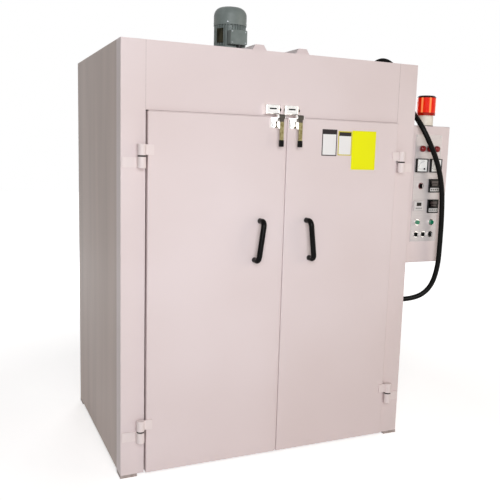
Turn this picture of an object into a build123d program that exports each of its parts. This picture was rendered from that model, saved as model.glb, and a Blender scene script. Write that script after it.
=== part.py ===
from build123d import *
import math
import os

os.makedirs("parts", exist_ok=True)

# Two-door batch oven. Millimetres, X to the viewer's right, Y to the back, Z up.
# The origin is the centre of the floor pan's underside, on the workshop floor.

# Cabinet
WIDTH = 1566
DEPTH = 1080
BODY_HEIGHT = 2000
FOOT_THICK = 15
FOOT_SIDE = 80
JAMB_WIDTH = 112
JAMB_DEPTH = 80
STOP_LAP = 30
HEADER_HEIGHT = 300
ROOF_THICK = 100
BACK_THICK = 100
FLOOR_THICK = 60
EDGE_ROUND = 4

# Doors
DOOR_PROUD = 20
PAN_THICK = 45
PLUG_THICK = 40
SEAM_X = 18
SEAM_GAP = 9
DOOR_SIDE_GAP = 6
DOOR_TOP_GAP = 5
DOOR_BOTTOM_GAP = 5
PLUG_INSET = 8
PLUG_INSET_FREE = 30
SEAL_INSET = 4
GASKET_WIDTH = 14
SEAT_GAP = 0.3

# Lift-off hinges
HINGE_OFFSET = 23
HINGE_STANDOFF = 25
BARREL_RADIUS = 19
BARREL_HALF = 50
WASHER_THICK = 7
WASHER_RADIUS = 11
PIN_RADIUS = 8
PIN_LENGTH = 40
PIN_CLEARANCE = 0.05
LEAF_THICK = 6
LEAF_HEIGHT = 46
LEAF_REACH = 56
LEAF_EDGE = 6
HINGE_HEIGHTS = {"right": (252, 1512), "left": (233, 1512)}

# Door handles
HANDLE_BAR = 27
HANDLE_STANDOFF = 52
HANDLE_BEND = 24
HANDLE_TOP_X = 122
HANDLE_BOTTOM_X = 146
HANDLE_TOP_Z = 1215
HANDLE_DROP = 190

# Latches at the head of the doors
LATCH_X = 50
KEEPER_SHIFT = -12
KEEPER_WIDTH = 76
KEEPER_HEIGHT = 48
KEEPER_DEPTH = 30
KEEPER_LIFT = 7
KEEPER_ROUND = 9
SLOT_WIDTH = 36
SLOT_HEIGHT = 7
SLOT_DEPTH = 12
ROLLER_RADIUS = 6
ROLLER_STUB = 8
LATCH_BASE_WIDTH = 46
LATCH_BASE_HEIGHT = 50
LATCH_BASE_THICK = 6
LATCH_BASE_DROP = 1
CHEEK_THICK = 10
CHEEK_GAP = 2
LATCH_PIVOT_OUT = 29
LATCH_PIN_RADIUS = 4
PIN_HEAD_RADIUS = 7
PIN_HEAD_THICK = 3
LEVER_SHIFT = 23
LEVER_HEAD_RADIUS = 12
LEVER_HEAD_WIDTH = 28
LEVER_WIDTH = 19
LEVER_THICK = 6
LEVER_LENGTH = 140
LEVER_WEB = 5
TOE_OUT = 13
TOE_DROP = 40
WEB_DROP = 58
GRIP_LENGTH = 31
GRIP_THICK = 12

# Roof
RIB_X = 115
RIB_BASE = 104
RIB_TOP = 42
RIB_HEIGHT = 30
RIB_SHEET = 3
RIB_FLANGE = 12
RIB_INSET = 30

# Air circulation
PLENUM_GAP = 10
DUCT_DEPTH = 60
DUCT_SHEET = 2
DUCT_SETBACK = 30
BAFFLE_THICK = 3
INLET_RADIUS = 110
FAN_RADIUS = 200
FAN_HUB_RADIUS = 30
FAN_PLATE = 4
FAN_BLADE_HEIGHT = 100
FAN_BLADES = 10
FAN_BLADE_THICK = 4
FAN_BLADE_LEAN = 30
SHAFT_RADIUS = 14
SHAFT_HOLE_RADIUS = 24

# Motor, standing on its flange
MOTOR_Y = 160
STOOL_PLATE = 10
STOOL_DEPTH = 170
STOOL_LAP = 12
LANTERN_RADIUS = 80
LANTERN_WALL = 10
LANTERN_HEIGHT = 50
LANTERN_WINDOWS = 4
LANTERN_WINDOW = 60
FLANGE_RADIUS = 96
FLANGE_THICK = 17
FRAME_RADIUS = 76
FIN_RADIUS = 90
FIN_COUNT = 32
FIN_THICK = 4
FRAME_HEIGHT = 116
COWL_RADIUS = 93
COWL_HEIGHT = 100
COWL_SHOULDER = 46
COWL_CROWN = 46
COWL_SLOTS = 12
COWL_SLOT_START = 15
COWL_SLOT_RIM = 4
COWL_SLOT_WIDTH = 5
COWL_SLOT_DEPTH = 10
TERMINAL_X = 3
TERMINAL_WIDTH = 97
TERMINAL_DEPTH = 62
TERMINAL_HEIGHT = 77
TERMINAL_LIFT = 3
TERMINAL_FRONT = 30
TERMINAL_LID = 8
ELBOW_SHIFT = 9
ELBOW_DEPTH = 17
ELBOW_DROP = 35

# Control box on the right wall
BOX_WIDTH = 278
BOX_DEPTH = 220
BOX_SETBACK = 50
BOX_BOTTOM = 961
BOX_HEIGHT = 749
BOX_ROUND = 5
PANEL_WIDTH = 174
PANEL_HEIGHT = 585
PANEL_THICK = 3
PANEL_LIFT = 118
COLUMN_SHIFT = 4
COLUMN_PITCH = 95
BUTTON_SHIFT = -8
SELECTOR_SHIFT = -11
LAMP_DROP = 77
METER_DROP = 167
KEY_DROP = 278
CONTROLLER_DROPS = (277, 390)
TIMER_DROP = 387
BUTTON_DROP = 478
SELECTOR_DROP = 545
BEZEL_RADIUS = 17
BEZEL_HEIGHT = 10
LAMP_HEIGHT = 21
METER_SIDE = 74
METER_DEPTH = 14
METER_RIM = 5
CONTROLLER_WIDTH = 72
CONTROLLER_HEIGHT = 74
CONTROLLER_DEPTH = 9
TIMER_WIDTH = 58
TIMER_HEIGHT = 52
TIMER_DEPTH = 14
TIMER_SHIFT = -8
KNOB_RADIUS = 12
KNOB_CLEARANCE = 0.3
KNOB_HEIGHT = 13
KNOB_GRIP_WIDTH = 7
KNOB_GRIP_HEIGHT = 12
BUTTON_HEIGHT = 15
BUTTON_TRAVEL = 4

# Beacon on the control box
BEACON_SHIFT = 15
BEACON_SETBACK = 110
BEACON_BASE_RADIUS = 41
BEACON_BASE_HEIGHT = 59
BEACON_LENS_RADIUS = 50
BEACON_LENS_HEIGHT = 105
BEACON_CAP_THICK = 7

# Flexible conduit from the motor to the wall
CONDUIT_RADIUS = 14
GLAND_RADIUS = 18
GLAND_LENGTH = 24
CONDUIT_ROUTE = [
    (185, 47, 2090), (318, 32, 2063), (455, 4, 2036), (596, -36, 2032), (720, -104, 2034), (787, -182, 2081),
    (825, -287, 2060), (842, -364, 1947), (837, -428, 1822), (832, -535, 1744), (889, -559, 1629),
    (945, -560, 1508), (983, -554, 1373), (997, -550, 1230), (1000, -547, 1079), (1001, -542, 938),
    (978, -522, 818), (903, -488, 752),
]
WALL_GLAND_Y = -434
WALL_GLAND_Z = 742

# Planes and edges that the sizes above give
HALF = WIDTH / 2
FRONT = -DEPTH / 2
BACK = DEPTH / 2
BASE = FOOT_THICK
TOP = BASE + BODY_HEIGHT
OPENING_HALF = HALF - JAMB_WIDTH
CHAMBER_HALF = OPENING_HALF - STOP_LAP
OPENING_TOP = TOP - HEADER_HEIGHT
STOP_Y = FRONT + JAMB_DEPTH
FLOOR_TOP = BASE + FLOOR_THICK
CEILING = TOP - ROOF_THICK
CHAMBER_BACK = BACK - BACK_THICK
HINGE_X = OPENING_HALF + HINGE_OFFSET
HINGE_Y = FRONT - HINGE_STANDOFF
DOOR_FACE = FRONT - DOOR_PROUD
PAN_BACK = DOOR_FACE + PAN_THICK
PLUG_BACK = PAN_BACK + PLUG_THICK
DOOR_TOP = OPENING_TOP - DOOR_TOP_GAP
DOOR_BOTTOM = BASE + DOOR_BOTTOM_GAP
DOOR_EDGE = OPENING_HALF - DOOR_SIDE_GAP


def slab(x0, x1, y0, y1, z0, z1):
    """Box between two corners."""
    return Pos((x0 + x1) / 2, (y0 + y1) / 2, (z0 + z1) / 2) * Box(x1 - x0, y1 - y0, z1 - z0)


def rod_x(radius, x0, x1, y, z):
    """Round rod along X."""
    return Pos((x0 + x1) / 2, y, z) * Rot(0, 90, 0) * Cylinder(radius, x1 - x0)


def rod_y(radius, y0, y1, x, z):
    """Round rod along Y."""
    return Pos(x, (y0 + y1) / 2, z) * Rot(90, 0, 0) * Cylinder(radius, y1 - y0)


def rod_z(radius, z0, z1, x, y):
    """Round rod along Z."""
    return Pos(x, y, (z0 + z1) / 2) * Cylinder(radius, z1 - z0)


def tube_along(points, radii, radius):
    """Round bar swept along straight runs joined by tangent arcs."""
    path = FilletPolyline(*points, radius=radii)
    return sweep(Plane(origin=path @ 0, z_dir=path % 0) * Circle(radius), path)


def save(name, *solids):
    """Write one node, of one solid or of several that don't touch."""
    shape = solids[0] if len(solids) == 1 else Compound(children=list(solids))
    export_step(shape, f"parts/{name}.step")


def mirrored(solid):
    """The same piece on the other side of the middle plane."""
    return mirror(solid, about=Plane.YZ)


def in_place(solid):
    """The piece as it was modelled, on the right side."""
    return solid


# Cabinet: insulated panels round a chamber, standing on four foot plates
right_wall = slab(CHAMBER_HALF, HALF, STOP_Y, BACK, BASE, TOP)
right_wall = fillet(right_wall.edges().filter_by(Axis.Z).sort_by(Axis.Y)[-2:].sort_by(Axis.X)[-1], EDGE_ROUND)
save("right_wall", right_wall)
save("left_wall", mirrored(right_wall))
save("back_wall", slab(-CHAMBER_HALF, CHAMBER_HALF, CHAMBER_BACK, BACK, BASE, TOP))
shaft_hole = rod_z(SHAFT_HOLE_RADIUS, CEILING - 1, TOP + 1, 0, MOTOR_Y)
save("roof_panel", slab(-CHAMBER_HALF, CHAMBER_HALF, STOP_Y, CHAMBER_BACK, CEILING, TOP) - shaft_hole)
save("floor_pan", slab(-CHAMBER_HALF, CHAMBER_HALF, STOP_Y, CHAMBER_BACK, 0, FLOOR_TOP))
right_jamb = slab(OPENING_HALF, HALF, FRONT, STOP_Y, BASE, TOP)
right_jamb = fillet(right_jamb.edges().filter_by(Axis.Z).sort_by(Axis.Y)[:2].sort_by(Axis.X)[-1], EDGE_ROUND)
save("right_jamb", right_jamb)
save("left_jamb", mirrored(right_jamb))
save("header_panel", slab(-OPENING_HALF, OPENING_HALF, FRONT, STOP_Y, OPENING_TOP, TOP))
foot_y = (FRONT + FOOT_SIDE / 2, BACK - FOOT_SIDE / 2)
foot_x = HALF - FOOT_SIDE / 2
feet = [Pos(x, y, BASE / 2) * Box(FOOT_SIDE, FOOT_SIDE, BASE) for x in (-foot_x, foot_x) for y in foot_y]
save("foot_plates", *feet)

# Roof ribs: folded hat sections that also carry the motor
foot_in = RIB_BASE / 2 - RIB_FLANGE
top_in = RIB_TOP / 2
hat_outside = Polyline((-foot_in, 0), (-top_in, RIB_HEIGHT), (top_in, RIB_HEIGHT), (foot_in, 0), close=True)
hat_inside = Polyline(
    (RIB_SHEET - foot_in, 0), (RIB_SHEET - top_in, RIB_HEIGHT - RIB_SHEET),
    (top_in - RIB_SHEET, RIB_HEIGHT - RIB_SHEET), (foot_in - RIB_SHEET, 0), close=True,
)
hat_flanges = Pos(0, RIB_SHEET / 2) * Rectangle(RIB_BASE, RIB_SHEET)
hat_face = make_face(hat_outside) + hat_flanges - make_face(hat_inside)
rib_plane = Plane(origin=(RIB_X, BACK - RIB_INSET, TOP), x_dir=(1, 0, 0), z_dir=(0, -1, 0))
rib_length = DEPTH - 2 * RIB_INSET
rib_end = rib_plane * make_face(hat_outside)
right_rib = extrude(rib_plane * hat_face, rib_length) + extrude(rib_end, RIB_SHEET)
right_rib += Pos(0, RIB_SHEET - rib_length, 0) * extrude(rib_end, RIB_SHEET)
save("roof_ribs", right_rib, mirrored(right_rib))

# Air circulation: ceiling baffle with the fan's inlet, and a duct panel down each side
head_stop_back = STOP_Y + DUCT_SETBACK
save("head_stop", slab(-CHAMBER_HALF, CHAMBER_HALF, STOP_Y, head_stop_back, OPENING_TOP - STOP_LAP, OPENING_TOP))
duct_x = CHAMBER_HALF - DUCT_DEPTH
baffle_z = OPENING_TOP - STOP_LAP
baffle = slab(-duct_x, duct_x, head_stop_back, CHAMBER_BACK, baffle_z, baffle_z + BAFFLE_THICK)
save("ceiling_baffle", baffle - rod_z(INLET_RADIUS, baffle_z - 1, baffle_z + BAFFLE_THICK + 1, 0, MOTOR_Y))
duct = slab(duct_x, duct_x + DUCT_SHEET, head_stop_back, CHAMBER_BACK, FLOOR_TOP, baffle_z)
duct += slab(duct_x, CHAMBER_HALF, head_stop_back, head_stop_back + DUCT_SHEET, FLOOR_TOP, baffle_z)
save("duct_panels", duct, mirrored(duct))

# Fan: a centrifugal wheel with backward-leaning blades on the motor's shaft
rib_top = TOP + RIB_HEIGHT
lantern_z = rib_top + STOOL_PLATE
flange_z = lantern_z + LANTERN_HEIGHT
frame_z = flange_z + FLANGE_THICK
wheel_z = baffle_z + BAFFLE_THICK + PLENUM_GAP
plate_z = wheel_z + FAN_PLATE + FAN_BLADE_HEIGHT
wheel = rod_z(FAN_RADIUS, plate_z, plate_z + FAN_PLATE, 0, 0)
wheel += rod_z(FAN_HUB_RADIUS, plate_z - FAN_BLADE_HEIGHT / 3, plate_z + FAN_PLATE + 20, 0, 0)
wheel += rod_z(SHAFT_RADIUS, plate_z, flange_z, 0, 0)
shroud = rod_z(FAN_RADIUS, wheel_z, wheel_z + FAN_PLATE, 0, 0) - rod_z(INLET_RADIUS, wheel_z - 1, plate_z, 0, 0)
wheel += shroud
blade_start = INLET_RADIUS + 6
blade_length = (FAN_RADIUS - blade_start) / math.cos(math.radians(FAN_BLADE_LEAN)) - 12
for i in range(FAN_BLADES):
    blade = Pos(blade_length / 2, 0, wheel_z + FAN_PLATE + FAN_BLADE_HEIGHT / 2)
    blade = blade * Box(blade_length, FAN_BLADE_THICK, FAN_BLADE_HEIGHT)
    blade = Rot(0, 0, 360 / FAN_BLADES * i) * Pos(blade_start, 0, 0) * Rot(0, 0, -FAN_BLADE_LEAN) * blade
    wheel += blade
save("fan_wheel", Pos(0, MOTOR_Y, 0) * wheel)

# Motor stool: a plate across the ribs and a lantern ring with windows
stool_half = RIB_X + RIB_TOP / 2 + STOOL_LAP
stool = slab(-stool_half, stool_half, -STOOL_DEPTH / 2, STOOL_DEPTH / 2, rib_top, lantern_z)
lantern = rod_z(LANTERN_RADIUS, lantern_z, flange_z, 0, 0)
lantern -= rod_z(LANTERN_RADIUS - LANTERN_WALL, lantern_z, flange_z + 1, 0, 0)
for i in range(LANTERN_WINDOWS):
    window = Pos(LANTERN_RADIUS, 0, (lantern_z + flange_z) / 2) * Box(60, LANTERN_WINDOW, LANTERN_HEIGHT - 16)
    lantern -= Rot(0, 0, 45 + 360 / LANTERN_WINDOWS * i) * window
stool += lantern
stool -= rod_z(SHAFT_HOLE_RADIUS, rib_top - 1, lantern_z + 1, 0, 0)
save("motor_stool", Pos(0, MOTOR_Y, 0) * stool)

# Motor: flange, finned frame, fan cowl and terminal box
flange = rod_z(FLANGE_RADIUS, flange_z, frame_z, 0, 0)
flange = chamfer(flange.edges().filter_by(GeomType.CIRCLE), 3)
save("motor_flange", Pos(0, MOTOR_Y, 0) * flange)
fin_ring = Circle(FRAME_RADIUS)
for i in range(FIN_COUNT):
    fin = Pos((FIN_RADIUS + FRAME_RADIUS - 4) / 2, 0) * Rectangle(FIN_RADIUS - FRAME_RADIUS + 4, FIN_THICK)
    fin_ring += Rot(0, 0, 360 / FIN_COUNT * i) * fin
save("motor_frame", Pos(0, MOTOR_Y, frame_z) * extrude(fin_ring, FRAME_HEIGHT))
cowl_z = frame_z + FRAME_HEIGHT
skirt_height = COWL_HEIGHT - COWL_SHOULDER
shoulder_mid = (COWL_CROWN + (COWL_RADIUS - COWL_CROWN) * 0.72, skirt_height + COWL_SHOULDER * 0.7)
cowl_profile = Polyline(
    (COWL_CROWN, COWL_HEIGHT), (0, COWL_HEIGHT), (0, 0), (COWL_RADIUS, 0), (COWL_RADIUS, skirt_height),
)
cowl_profile += ThreePointArc((COWL_RADIUS, skirt_height), shoulder_mid, (COWL_CROWN, COWL_HEIGHT))
cowl = revolve(Plane.XZ * make_face(cowl_profile), Axis.Z)
slot_mid = (COWL_SLOT_START + COWL_CROWN - COWL_SLOT_RIM) / 2
slot_length = COWL_CROWN - COWL_SLOT_RIM - COWL_SLOT_START
for i in range(COWL_SLOTS):
    slot = Pos(slot_mid, 0, COWL_HEIGHT) * Box(slot_length, COWL_SLOT_WIDTH, 2 * COWL_SLOT_DEPTH)
    cowl -= Rot(0, 0, 360 / COWL_SLOTS * i) * slot
save("motor_fan_cowl", Pos(0, MOTOR_Y, cowl_z) * cowl)
terminal_z = frame_z + TERMINAL_LIFT
terminal = slab(
    TERMINAL_X - TERMINAL_WIDTH / 2, TERMINAL_X + TERMINAL_WIDTH / 2, TERMINAL_FRONT,
    TERMINAL_FRONT + TERMINAL_DEPTH, terminal_z, terminal_z + TERMINAL_HEIGHT,
)
terminal = fillet(terminal.edges().filter_by(Axis.Y), 6)
lid_line = slab(
    TERMINAL_X - TERMINAL_WIDTH, TERMINAL_X + TERMINAL_WIDTH, TERMINAL_FRONT + TERMINAL_LID,
    TERMINAL_FRONT + TERMINAL_LID + 1.5, terminal_z - 5, terminal_z + TERMINAL_HEIGHT + 5,
)
lid_core = slab(
    TERMINAL_X - TERMINAL_WIDTH / 2 + 2, TERMINAL_X + TERMINAL_WIDTH / 2 - 2, TERMINAL_FRONT,
    TERMINAL_FRONT + TERMINAL_DEPTH, terminal_z + 2, terminal_z + TERMINAL_HEIGHT - 2,
)
terminal -= lid_line - lid_core
terminal -= rod_z(FIN_RADIUS + SEAT_GAP, terminal_z - 5, terminal_z + TERMINAL_HEIGHT + 5, 0, MOTOR_Y)
save("motor_terminal_box", terminal)

# Hinges: the lower half and its pin stay on the jamb, the upper half lifts off with the door
barrel_gap = WASHER_THICK + SEAT_GAP
for side, flip in (("right", False), ("left", True)):
    lower_halves = []
    upper_halves = []
    for joint_z in HINGE_HEIGHTS[side]:
        barrel_bottom = joint_z - barrel_gap / 2 - BARREL_HALF
        barrel_top = joint_z - barrel_gap / 2
        lower = rod_z(BARREL_RADIUS, barrel_bottom, barrel_top, HINGE_X, HINGE_Y)
        lower += rod_z(WASHER_RADIUS, barrel_top, barrel_top + WASHER_THICK, HINGE_X, HINGE_Y)
        lower += rod_z(PIN_RADIUS, barrel_top, barrel_top + barrel_gap + PIN_LENGTH, HINGE_X, HINGE_Y)
        plate_low = (barrel_bottom + barrel_top - LEAF_HEIGHT) / 2
        plate_high = plate_low + LEAF_HEIGHT
        lower += slab(HINGE_X - 12, HALF - LEAF_EDGE, FRONT - LEAF_THICK, FRONT, plate_low, plate_high)
        lower += slab(HINGE_X - 12, HINGE_X + 12, HINGE_Y, FRONT, plate_low, plate_high)
        upper_bottom = barrel_top + barrel_gap
        upper = rod_z(BARREL_RADIUS, upper_bottom, upper_bottom + BARREL_HALF, HINGE_X, HINGE_Y)
        leaf_low = upper_bottom + (BARREL_HALF - LEAF_HEIGHT) / 2
        upper += slab(
            HINGE_X - LEAF_REACH, HINGE_X, DOOR_FACE - LEAF_THICK, DOOR_FACE, leaf_low, leaf_low + LEAF_HEIGHT,
        )
        bore_top = upper_bottom + PIN_LENGTH + SEAT_GAP
        upper -= rod_z(PIN_RADIUS + PIN_CLEARANCE, upper_bottom - 1, bore_top, HINGE_X, HINGE_Y)
        lower_halves.append(mirrored(lower) if flip else lower)
        upper_halves.append(mirrored(upper) if flip else upper)
    save(f"{side}_jamb_hinge_halves", *lower_halves)
    save(f"{side}_door_hinge_halves", *upper_halves)

# Doors: a folded pan proud of the frame, an insulated plug behind it and the gasket round the plug.
# The seam lies right of the middle, so the left door is the wider one. Each handle is a round
# bar with bent legs, splayed away from the seam at its lower end.
bar_y = DOOR_FACE - HANDLE_STANDOFF
handle_low = HANDLE_TOP_Z - HANDLE_DROP
plug_out = DOOR_EDGE - PLUG_INSET
plug_low = DOOR_BOTTOM + PLUG_INSET
plug_high = DOOR_TOP - PLUG_INSET
seal_out = plug_out - SEAL_INSET
seal_low = plug_low + SEAL_INSET
seal_high = plug_high - SEAL_INSET
seal_back = STOP_Y - SEAT_GAP
half_gap = SEAM_GAP / 2
for side, turn, free_edge in (("right", in_place, half_gap + SEAM_X), ("left", mirrored, half_gap - SEAM_X)):
    pan = slab(free_edge, DOOR_EDGE, DOOR_FACE, PAN_BACK, DOOR_BOTTOM, DOOR_TOP)
    pan = fillet(pan.faces().sort_by(Axis.Y)[0].edges(), EDGE_ROUND)
    plug_in = free_edge + PLUG_INSET_FREE
    plug = slab(plug_in, plug_out, PAN_BACK, PLUG_BACK, plug_low, plug_high)
    plug = chamfer(plug.faces().sort_by(Axis.Y)[-1].edges(), 3)
    seal_in = plug_in + SEAL_INSET
    seal = slab(seal_in, seal_out, PLUG_BACK, seal_back, seal_low, seal_high) - slab(
        seal_in + GASKET_WIDTH, seal_out - GASKET_WIDTH, PLUG_BACK - 1, seal_back + 1,
        seal_low + GASKET_WIDTH, seal_high - GASKET_WIDTH,
    )
    save(f"{side}_door_panel", turn(pan))
    save(f"{side}_door_plug", turn(plug))
    save(f"{side}_door_gasket", turn(seal))
    top_x = free_edge + HANDLE_TOP_X
    bottom_x = free_edge + HANDLE_BOTTOM_X
    handle = tube_along(
        [(top_x, DOOR_FACE, HANDLE_TOP_Z), (top_x, bar_y, HANDLE_TOP_Z),
         (bottom_x, bar_y, handle_low), (bottom_x, DOOR_FACE, handle_low)],
        HANDLE_BEND, HANDLE_BAR / 2,
    )
    save(f"{side}_door_handle", turn(handle))

# Latches, both of one hand: keeper on the header, base with one cheek on the door, and a hanging lever
keeper_low = OPENING_TOP + KEEPER_LIFT
keeper_face = FRONT - KEEPER_DEPTH
slot_z = keeper_low + KEEPER_HEIGHT / 2
base_high = DOOR_TOP - LATCH_BASE_DROP
base_low = base_high - LATCH_BASE_HEIGHT
base_face = DOOR_FACE - LATCH_BASE_THICK
pivot_y = DOOR_FACE - LATCH_PIVOT_OUT
pivot_z = base_high + LEVER_HEAD_RADIUS / 4
head_half = LEVER_HEAD_WIDTH / 2
keepers = []
for side, base_x in (("left", -LATCH_X), ("right", LATCH_X)):
    keeper_left = base_x + KEEPER_SHIFT - KEEPER_WIDTH / 2
    keeper_right = keeper_left + KEEPER_WIDTH
    keeper = slab(keeper_left, keeper_right, keeper_face, FRONT, keeper_low, keeper_low + KEEPER_HEIGHT)
    keeper = fillet(keeper.faces().sort_by(Axis.Y)[0].edges(), KEEPER_ROUND)
    slot_x = base_x + KEEPER_SHIFT
    keeper -= slab(
        slot_x - SLOT_WIDTH / 2, slot_x + SLOT_WIDTH / 2, keeper_face - 1, keeper_face + SLOT_DEPTH,
        slot_z, slot_z + SLOT_HEIGHT,
    )
    keeper += rod_x(ROLLER_RADIUS, keeper_right, keeper_right + ROLLER_STUB, FRONT - KEEPER_DEPTH / 2, slot_z)
    keepers.append(keeper)

    lever_x = base_x + LEVER_SHIFT
    cheek_right = lever_x - head_half - CHEEK_GAP
    latch_base = slab(
        base_x - LATCH_BASE_WIDTH / 2, base_x + LATCH_BASE_WIDTH / 2, base_face, DOOR_FACE,
        base_low, base_high,
    )
    latch_base = chamfer(latch_base.faces().sort_by(Axis.Y)[0].edges(), 1.5)
    cheek = slab(cheek_right - CHEEK_THICK, cheek_right, pivot_y, base_face + 2, pivot_z - 22, base_high)
    cheek += rod_x(LEVER_HEAD_RADIUS - 1, cheek_right - CHEEK_THICK, cheek_right, pivot_y, pivot_z)
    pin_end = lever_x + head_half + CHEEK_GAP
    pin = rod_x(LATCH_PIN_RADIUS, cheek_right - 1, pin_end + PIN_HEAD_THICK, pivot_y, pivot_z)
    pin += rod_x(PIN_HEAD_RADIUS, pin_end, pin_end + PIN_HEAD_THICK, pivot_y, pivot_z)
    save(f"{side}_latch_base", latch_base + cheek + pin)

    lever = rod_x(LEVER_HEAD_RADIUS, lever_x - head_half, lever_x + head_half, pivot_y, pivot_z)
    arm_front = pivot_y - LEVER_HEAD_RADIUS + 1
    lever_end = pivot_z - LEVER_LENGTH
    lever += slab(
        lever_x - LEVER_WIDTH / 2, lever_x + LEVER_WIDTH / 2, arm_front, arm_front + LEVER_THICK,
        lever_end, pivot_z,
    )
    toe = (base_face - TOE_OUT + LEVER_HEAD_RADIUS / 2, pivot_z - TOE_DROP)
    web = Polyline(
        (arm_front + 1, pivot_z), (pivot_y + 8, pivot_z - 4), toe, (arm_front + 1, pivot_z - WEB_DROP),
        close=True,
    )
    web_plane = Plane(origin=(lever_x - head_half, 0, 0), x_dir=(0, 1, 0), z_dir=(1, 0, 0))
    lever += extrude(web_plane * make_face(web), LEVER_WEB)
    grip = Pos(lever_x, arm_front + LEVER_THICK / 2, lever_end + GRIP_LENGTH / 2)
    lever += grip * fillet(Box(LEVER_WIDTH + 4, GRIP_THICK, GRIP_LENGTH).edges(), 3)
    bore_half = head_half + 1
    lever -= rod_x(LATCH_PIN_RADIUS + PIN_CLEARANCE, lever_x - bore_half, lever_x + bore_half, pivot_y, pivot_z)
    save(f"{side}_latch_lever", lever)
save("latch_keepers", *keepers)

# Control box: folded cabinet with the instrument plate
box_x = HALF + BOX_WIDTH / 2
box_face = FRONT + BOX_SETBACK
box_top = BOX_BOTTOM + BOX_HEIGHT
control_box = slab(HALF, HALF + BOX_WIDTH, box_face, box_face + BOX_DEPTH, BOX_BOTTOM, box_top)
control_box = fillet(control_box.faces().sort_by(Axis.Y)[0].edges(), BOX_ROUND)
save("control_box", control_box)
panel_face = box_face - PANEL_THICK
panel_top = BOX_BOTTOM + PANEL_LIFT + PANEL_HEIGHT
save("instrument_plate", slab(
    box_x - PANEL_WIDTH / 2, box_x + PANEL_WIDTH / 2, panel_face, box_face,
    panel_top - PANEL_HEIGHT, panel_top,
))
column_mid = box_x + COLUMN_SHIFT
column_left = column_mid - COLUMN_PITCH / 2
column_right = column_mid + COLUMN_PITCH / 2
three_across = (column_left, column_mid, column_right)
lamp_z = panel_top - LAMP_DROP
meter_z = panel_top - METER_DROP
key_z = panel_top - KEY_DROP
timer_z = panel_top - TIMER_DROP
button_z = panel_top - BUTTON_DROP
selector_z = panel_top - SELECTOR_DROP

lamps = []
for x in three_across:
    lamp = rod_y(BEZEL_RADIUS, panel_face - BEZEL_HEIGHT, panel_face, x, lamp_z)
    lens = rod_y(BEZEL_RADIUS - 2, panel_face - LAMP_HEIGHT, panel_face - BEZEL_HEIGHT, x, lamp_z)
    lens = chamfer(lens.edges().filter_by(GeomType.CIRCLE).sort_by(Axis.Y)[0], 4, 7)
    lamps.append(lamp + lens)
save("indicator_lamps", *lamps)
meters = []
for x in (column_left, column_right):
    meter = slab(
        x - METER_SIDE / 2, x + METER_SIDE / 2, panel_face - METER_DEPTH, panel_face,
        meter_z - METER_SIDE / 2, meter_z + METER_SIDE / 2,
    )
    dial = METER_SIDE / 2 - METER_RIM
    meter -= slab(
        x - dial, x + dial, panel_face - METER_DEPTH - 1, panel_face - METER_DEPTH + 3,
        meter_z - dial, meter_z + dial,
    )
    meters.append(meter)
save("panel_meters", *meters)
controllers = []
for drop in CONTROLLER_DROPS:
    z = panel_top - drop
    body = slab(
        column_right - CONTROLLER_WIDTH / 2, column_right + CONTROLLER_WIDTH / 2,
        panel_face - CONTROLLER_DEPTH, panel_face, z - CONTROLLER_HEIGHT / 2, z + CONTROLLER_HEIGHT / 2,
    )
    controllers.append(chamfer(body.faces().sort_by(Axis.Y)[0].edges(), 2))
save("temperature_controllers", *controllers)
timer_x = column_left + TIMER_SHIFT
timer = slab(
    timer_x - TIMER_WIDTH / 2, timer_x + TIMER_WIDTH / 2, panel_face - TIMER_DEPTH, panel_face,
    timer_z - TIMER_HEIGHT / 2, timer_z + TIMER_HEIGHT / 2,
)
save("timer", chamfer(timer.faces().sort_by(Axis.Y)[0].edges(), 2))

# Bezels stay on the plate; the knobs turn and the buttons slide inside them
rings = []
bezel_places = [(column_left, key_z)]
bezel_places += [(x + BUTTON_SHIFT, button_z) for x in (column_left, column_right)]
bezel_places += [(x + SELECTOR_SHIFT, selector_z) for x in three_across]
for x, z in bezel_places:
    ring = rod_y(BEZEL_RADIUS, panel_face - BEZEL_HEIGHT, panel_face, x, z)
    bore_front = panel_face - BEZEL_HEIGHT - 1
    rings.append(ring - rod_y(KNOB_RADIUS + KNOB_CLEARANCE, bore_front, panel_face + 1, x, z))
save("switch_bezels", *rings)


def knob(x, z):
    """Round knob with a raised grip bar, standing vertical at rest."""
    back = panel_face - KNOB_CLEARANCE
    body = rod_y(KNOB_RADIUS, back - KNOB_HEIGHT, back, x, z)
    bar_front = back - KNOB_HEIGHT - KNOB_GRIP_HEIGHT
    bar = slab(
        x - KNOB_GRIP_WIDTH / 2, x + KNOB_GRIP_WIDTH / 2, bar_front, back - KNOB_HEIGHT,
        z - KNOB_RADIUS + 1, z + KNOB_RADIUS - 1,
    )
    return body + fillet(bar.edges().filter_by(Axis.Y), 2)


save("key_switch", knob(column_left, key_z))
for name, x in zip(("left", "middle", "right"), three_across):
    save(f"{name}_selector", knob(x + SELECTOR_SHIFT, selector_z))
for name, x in (("left", column_left), ("right", column_right)):
    button_back = panel_face - BUTTON_TRAVEL - KNOB_CLEARANCE
    button = rod_y(KNOB_RADIUS, button_back - BUTTON_HEIGHT, button_back, x + BUTTON_SHIFT, button_z)
    button = chamfer(button.edges().filter_by(GeomType.CIRCLE).sort_by(Axis.Y)[0], 2)
    save(f"{name}_push_button", button)

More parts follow.
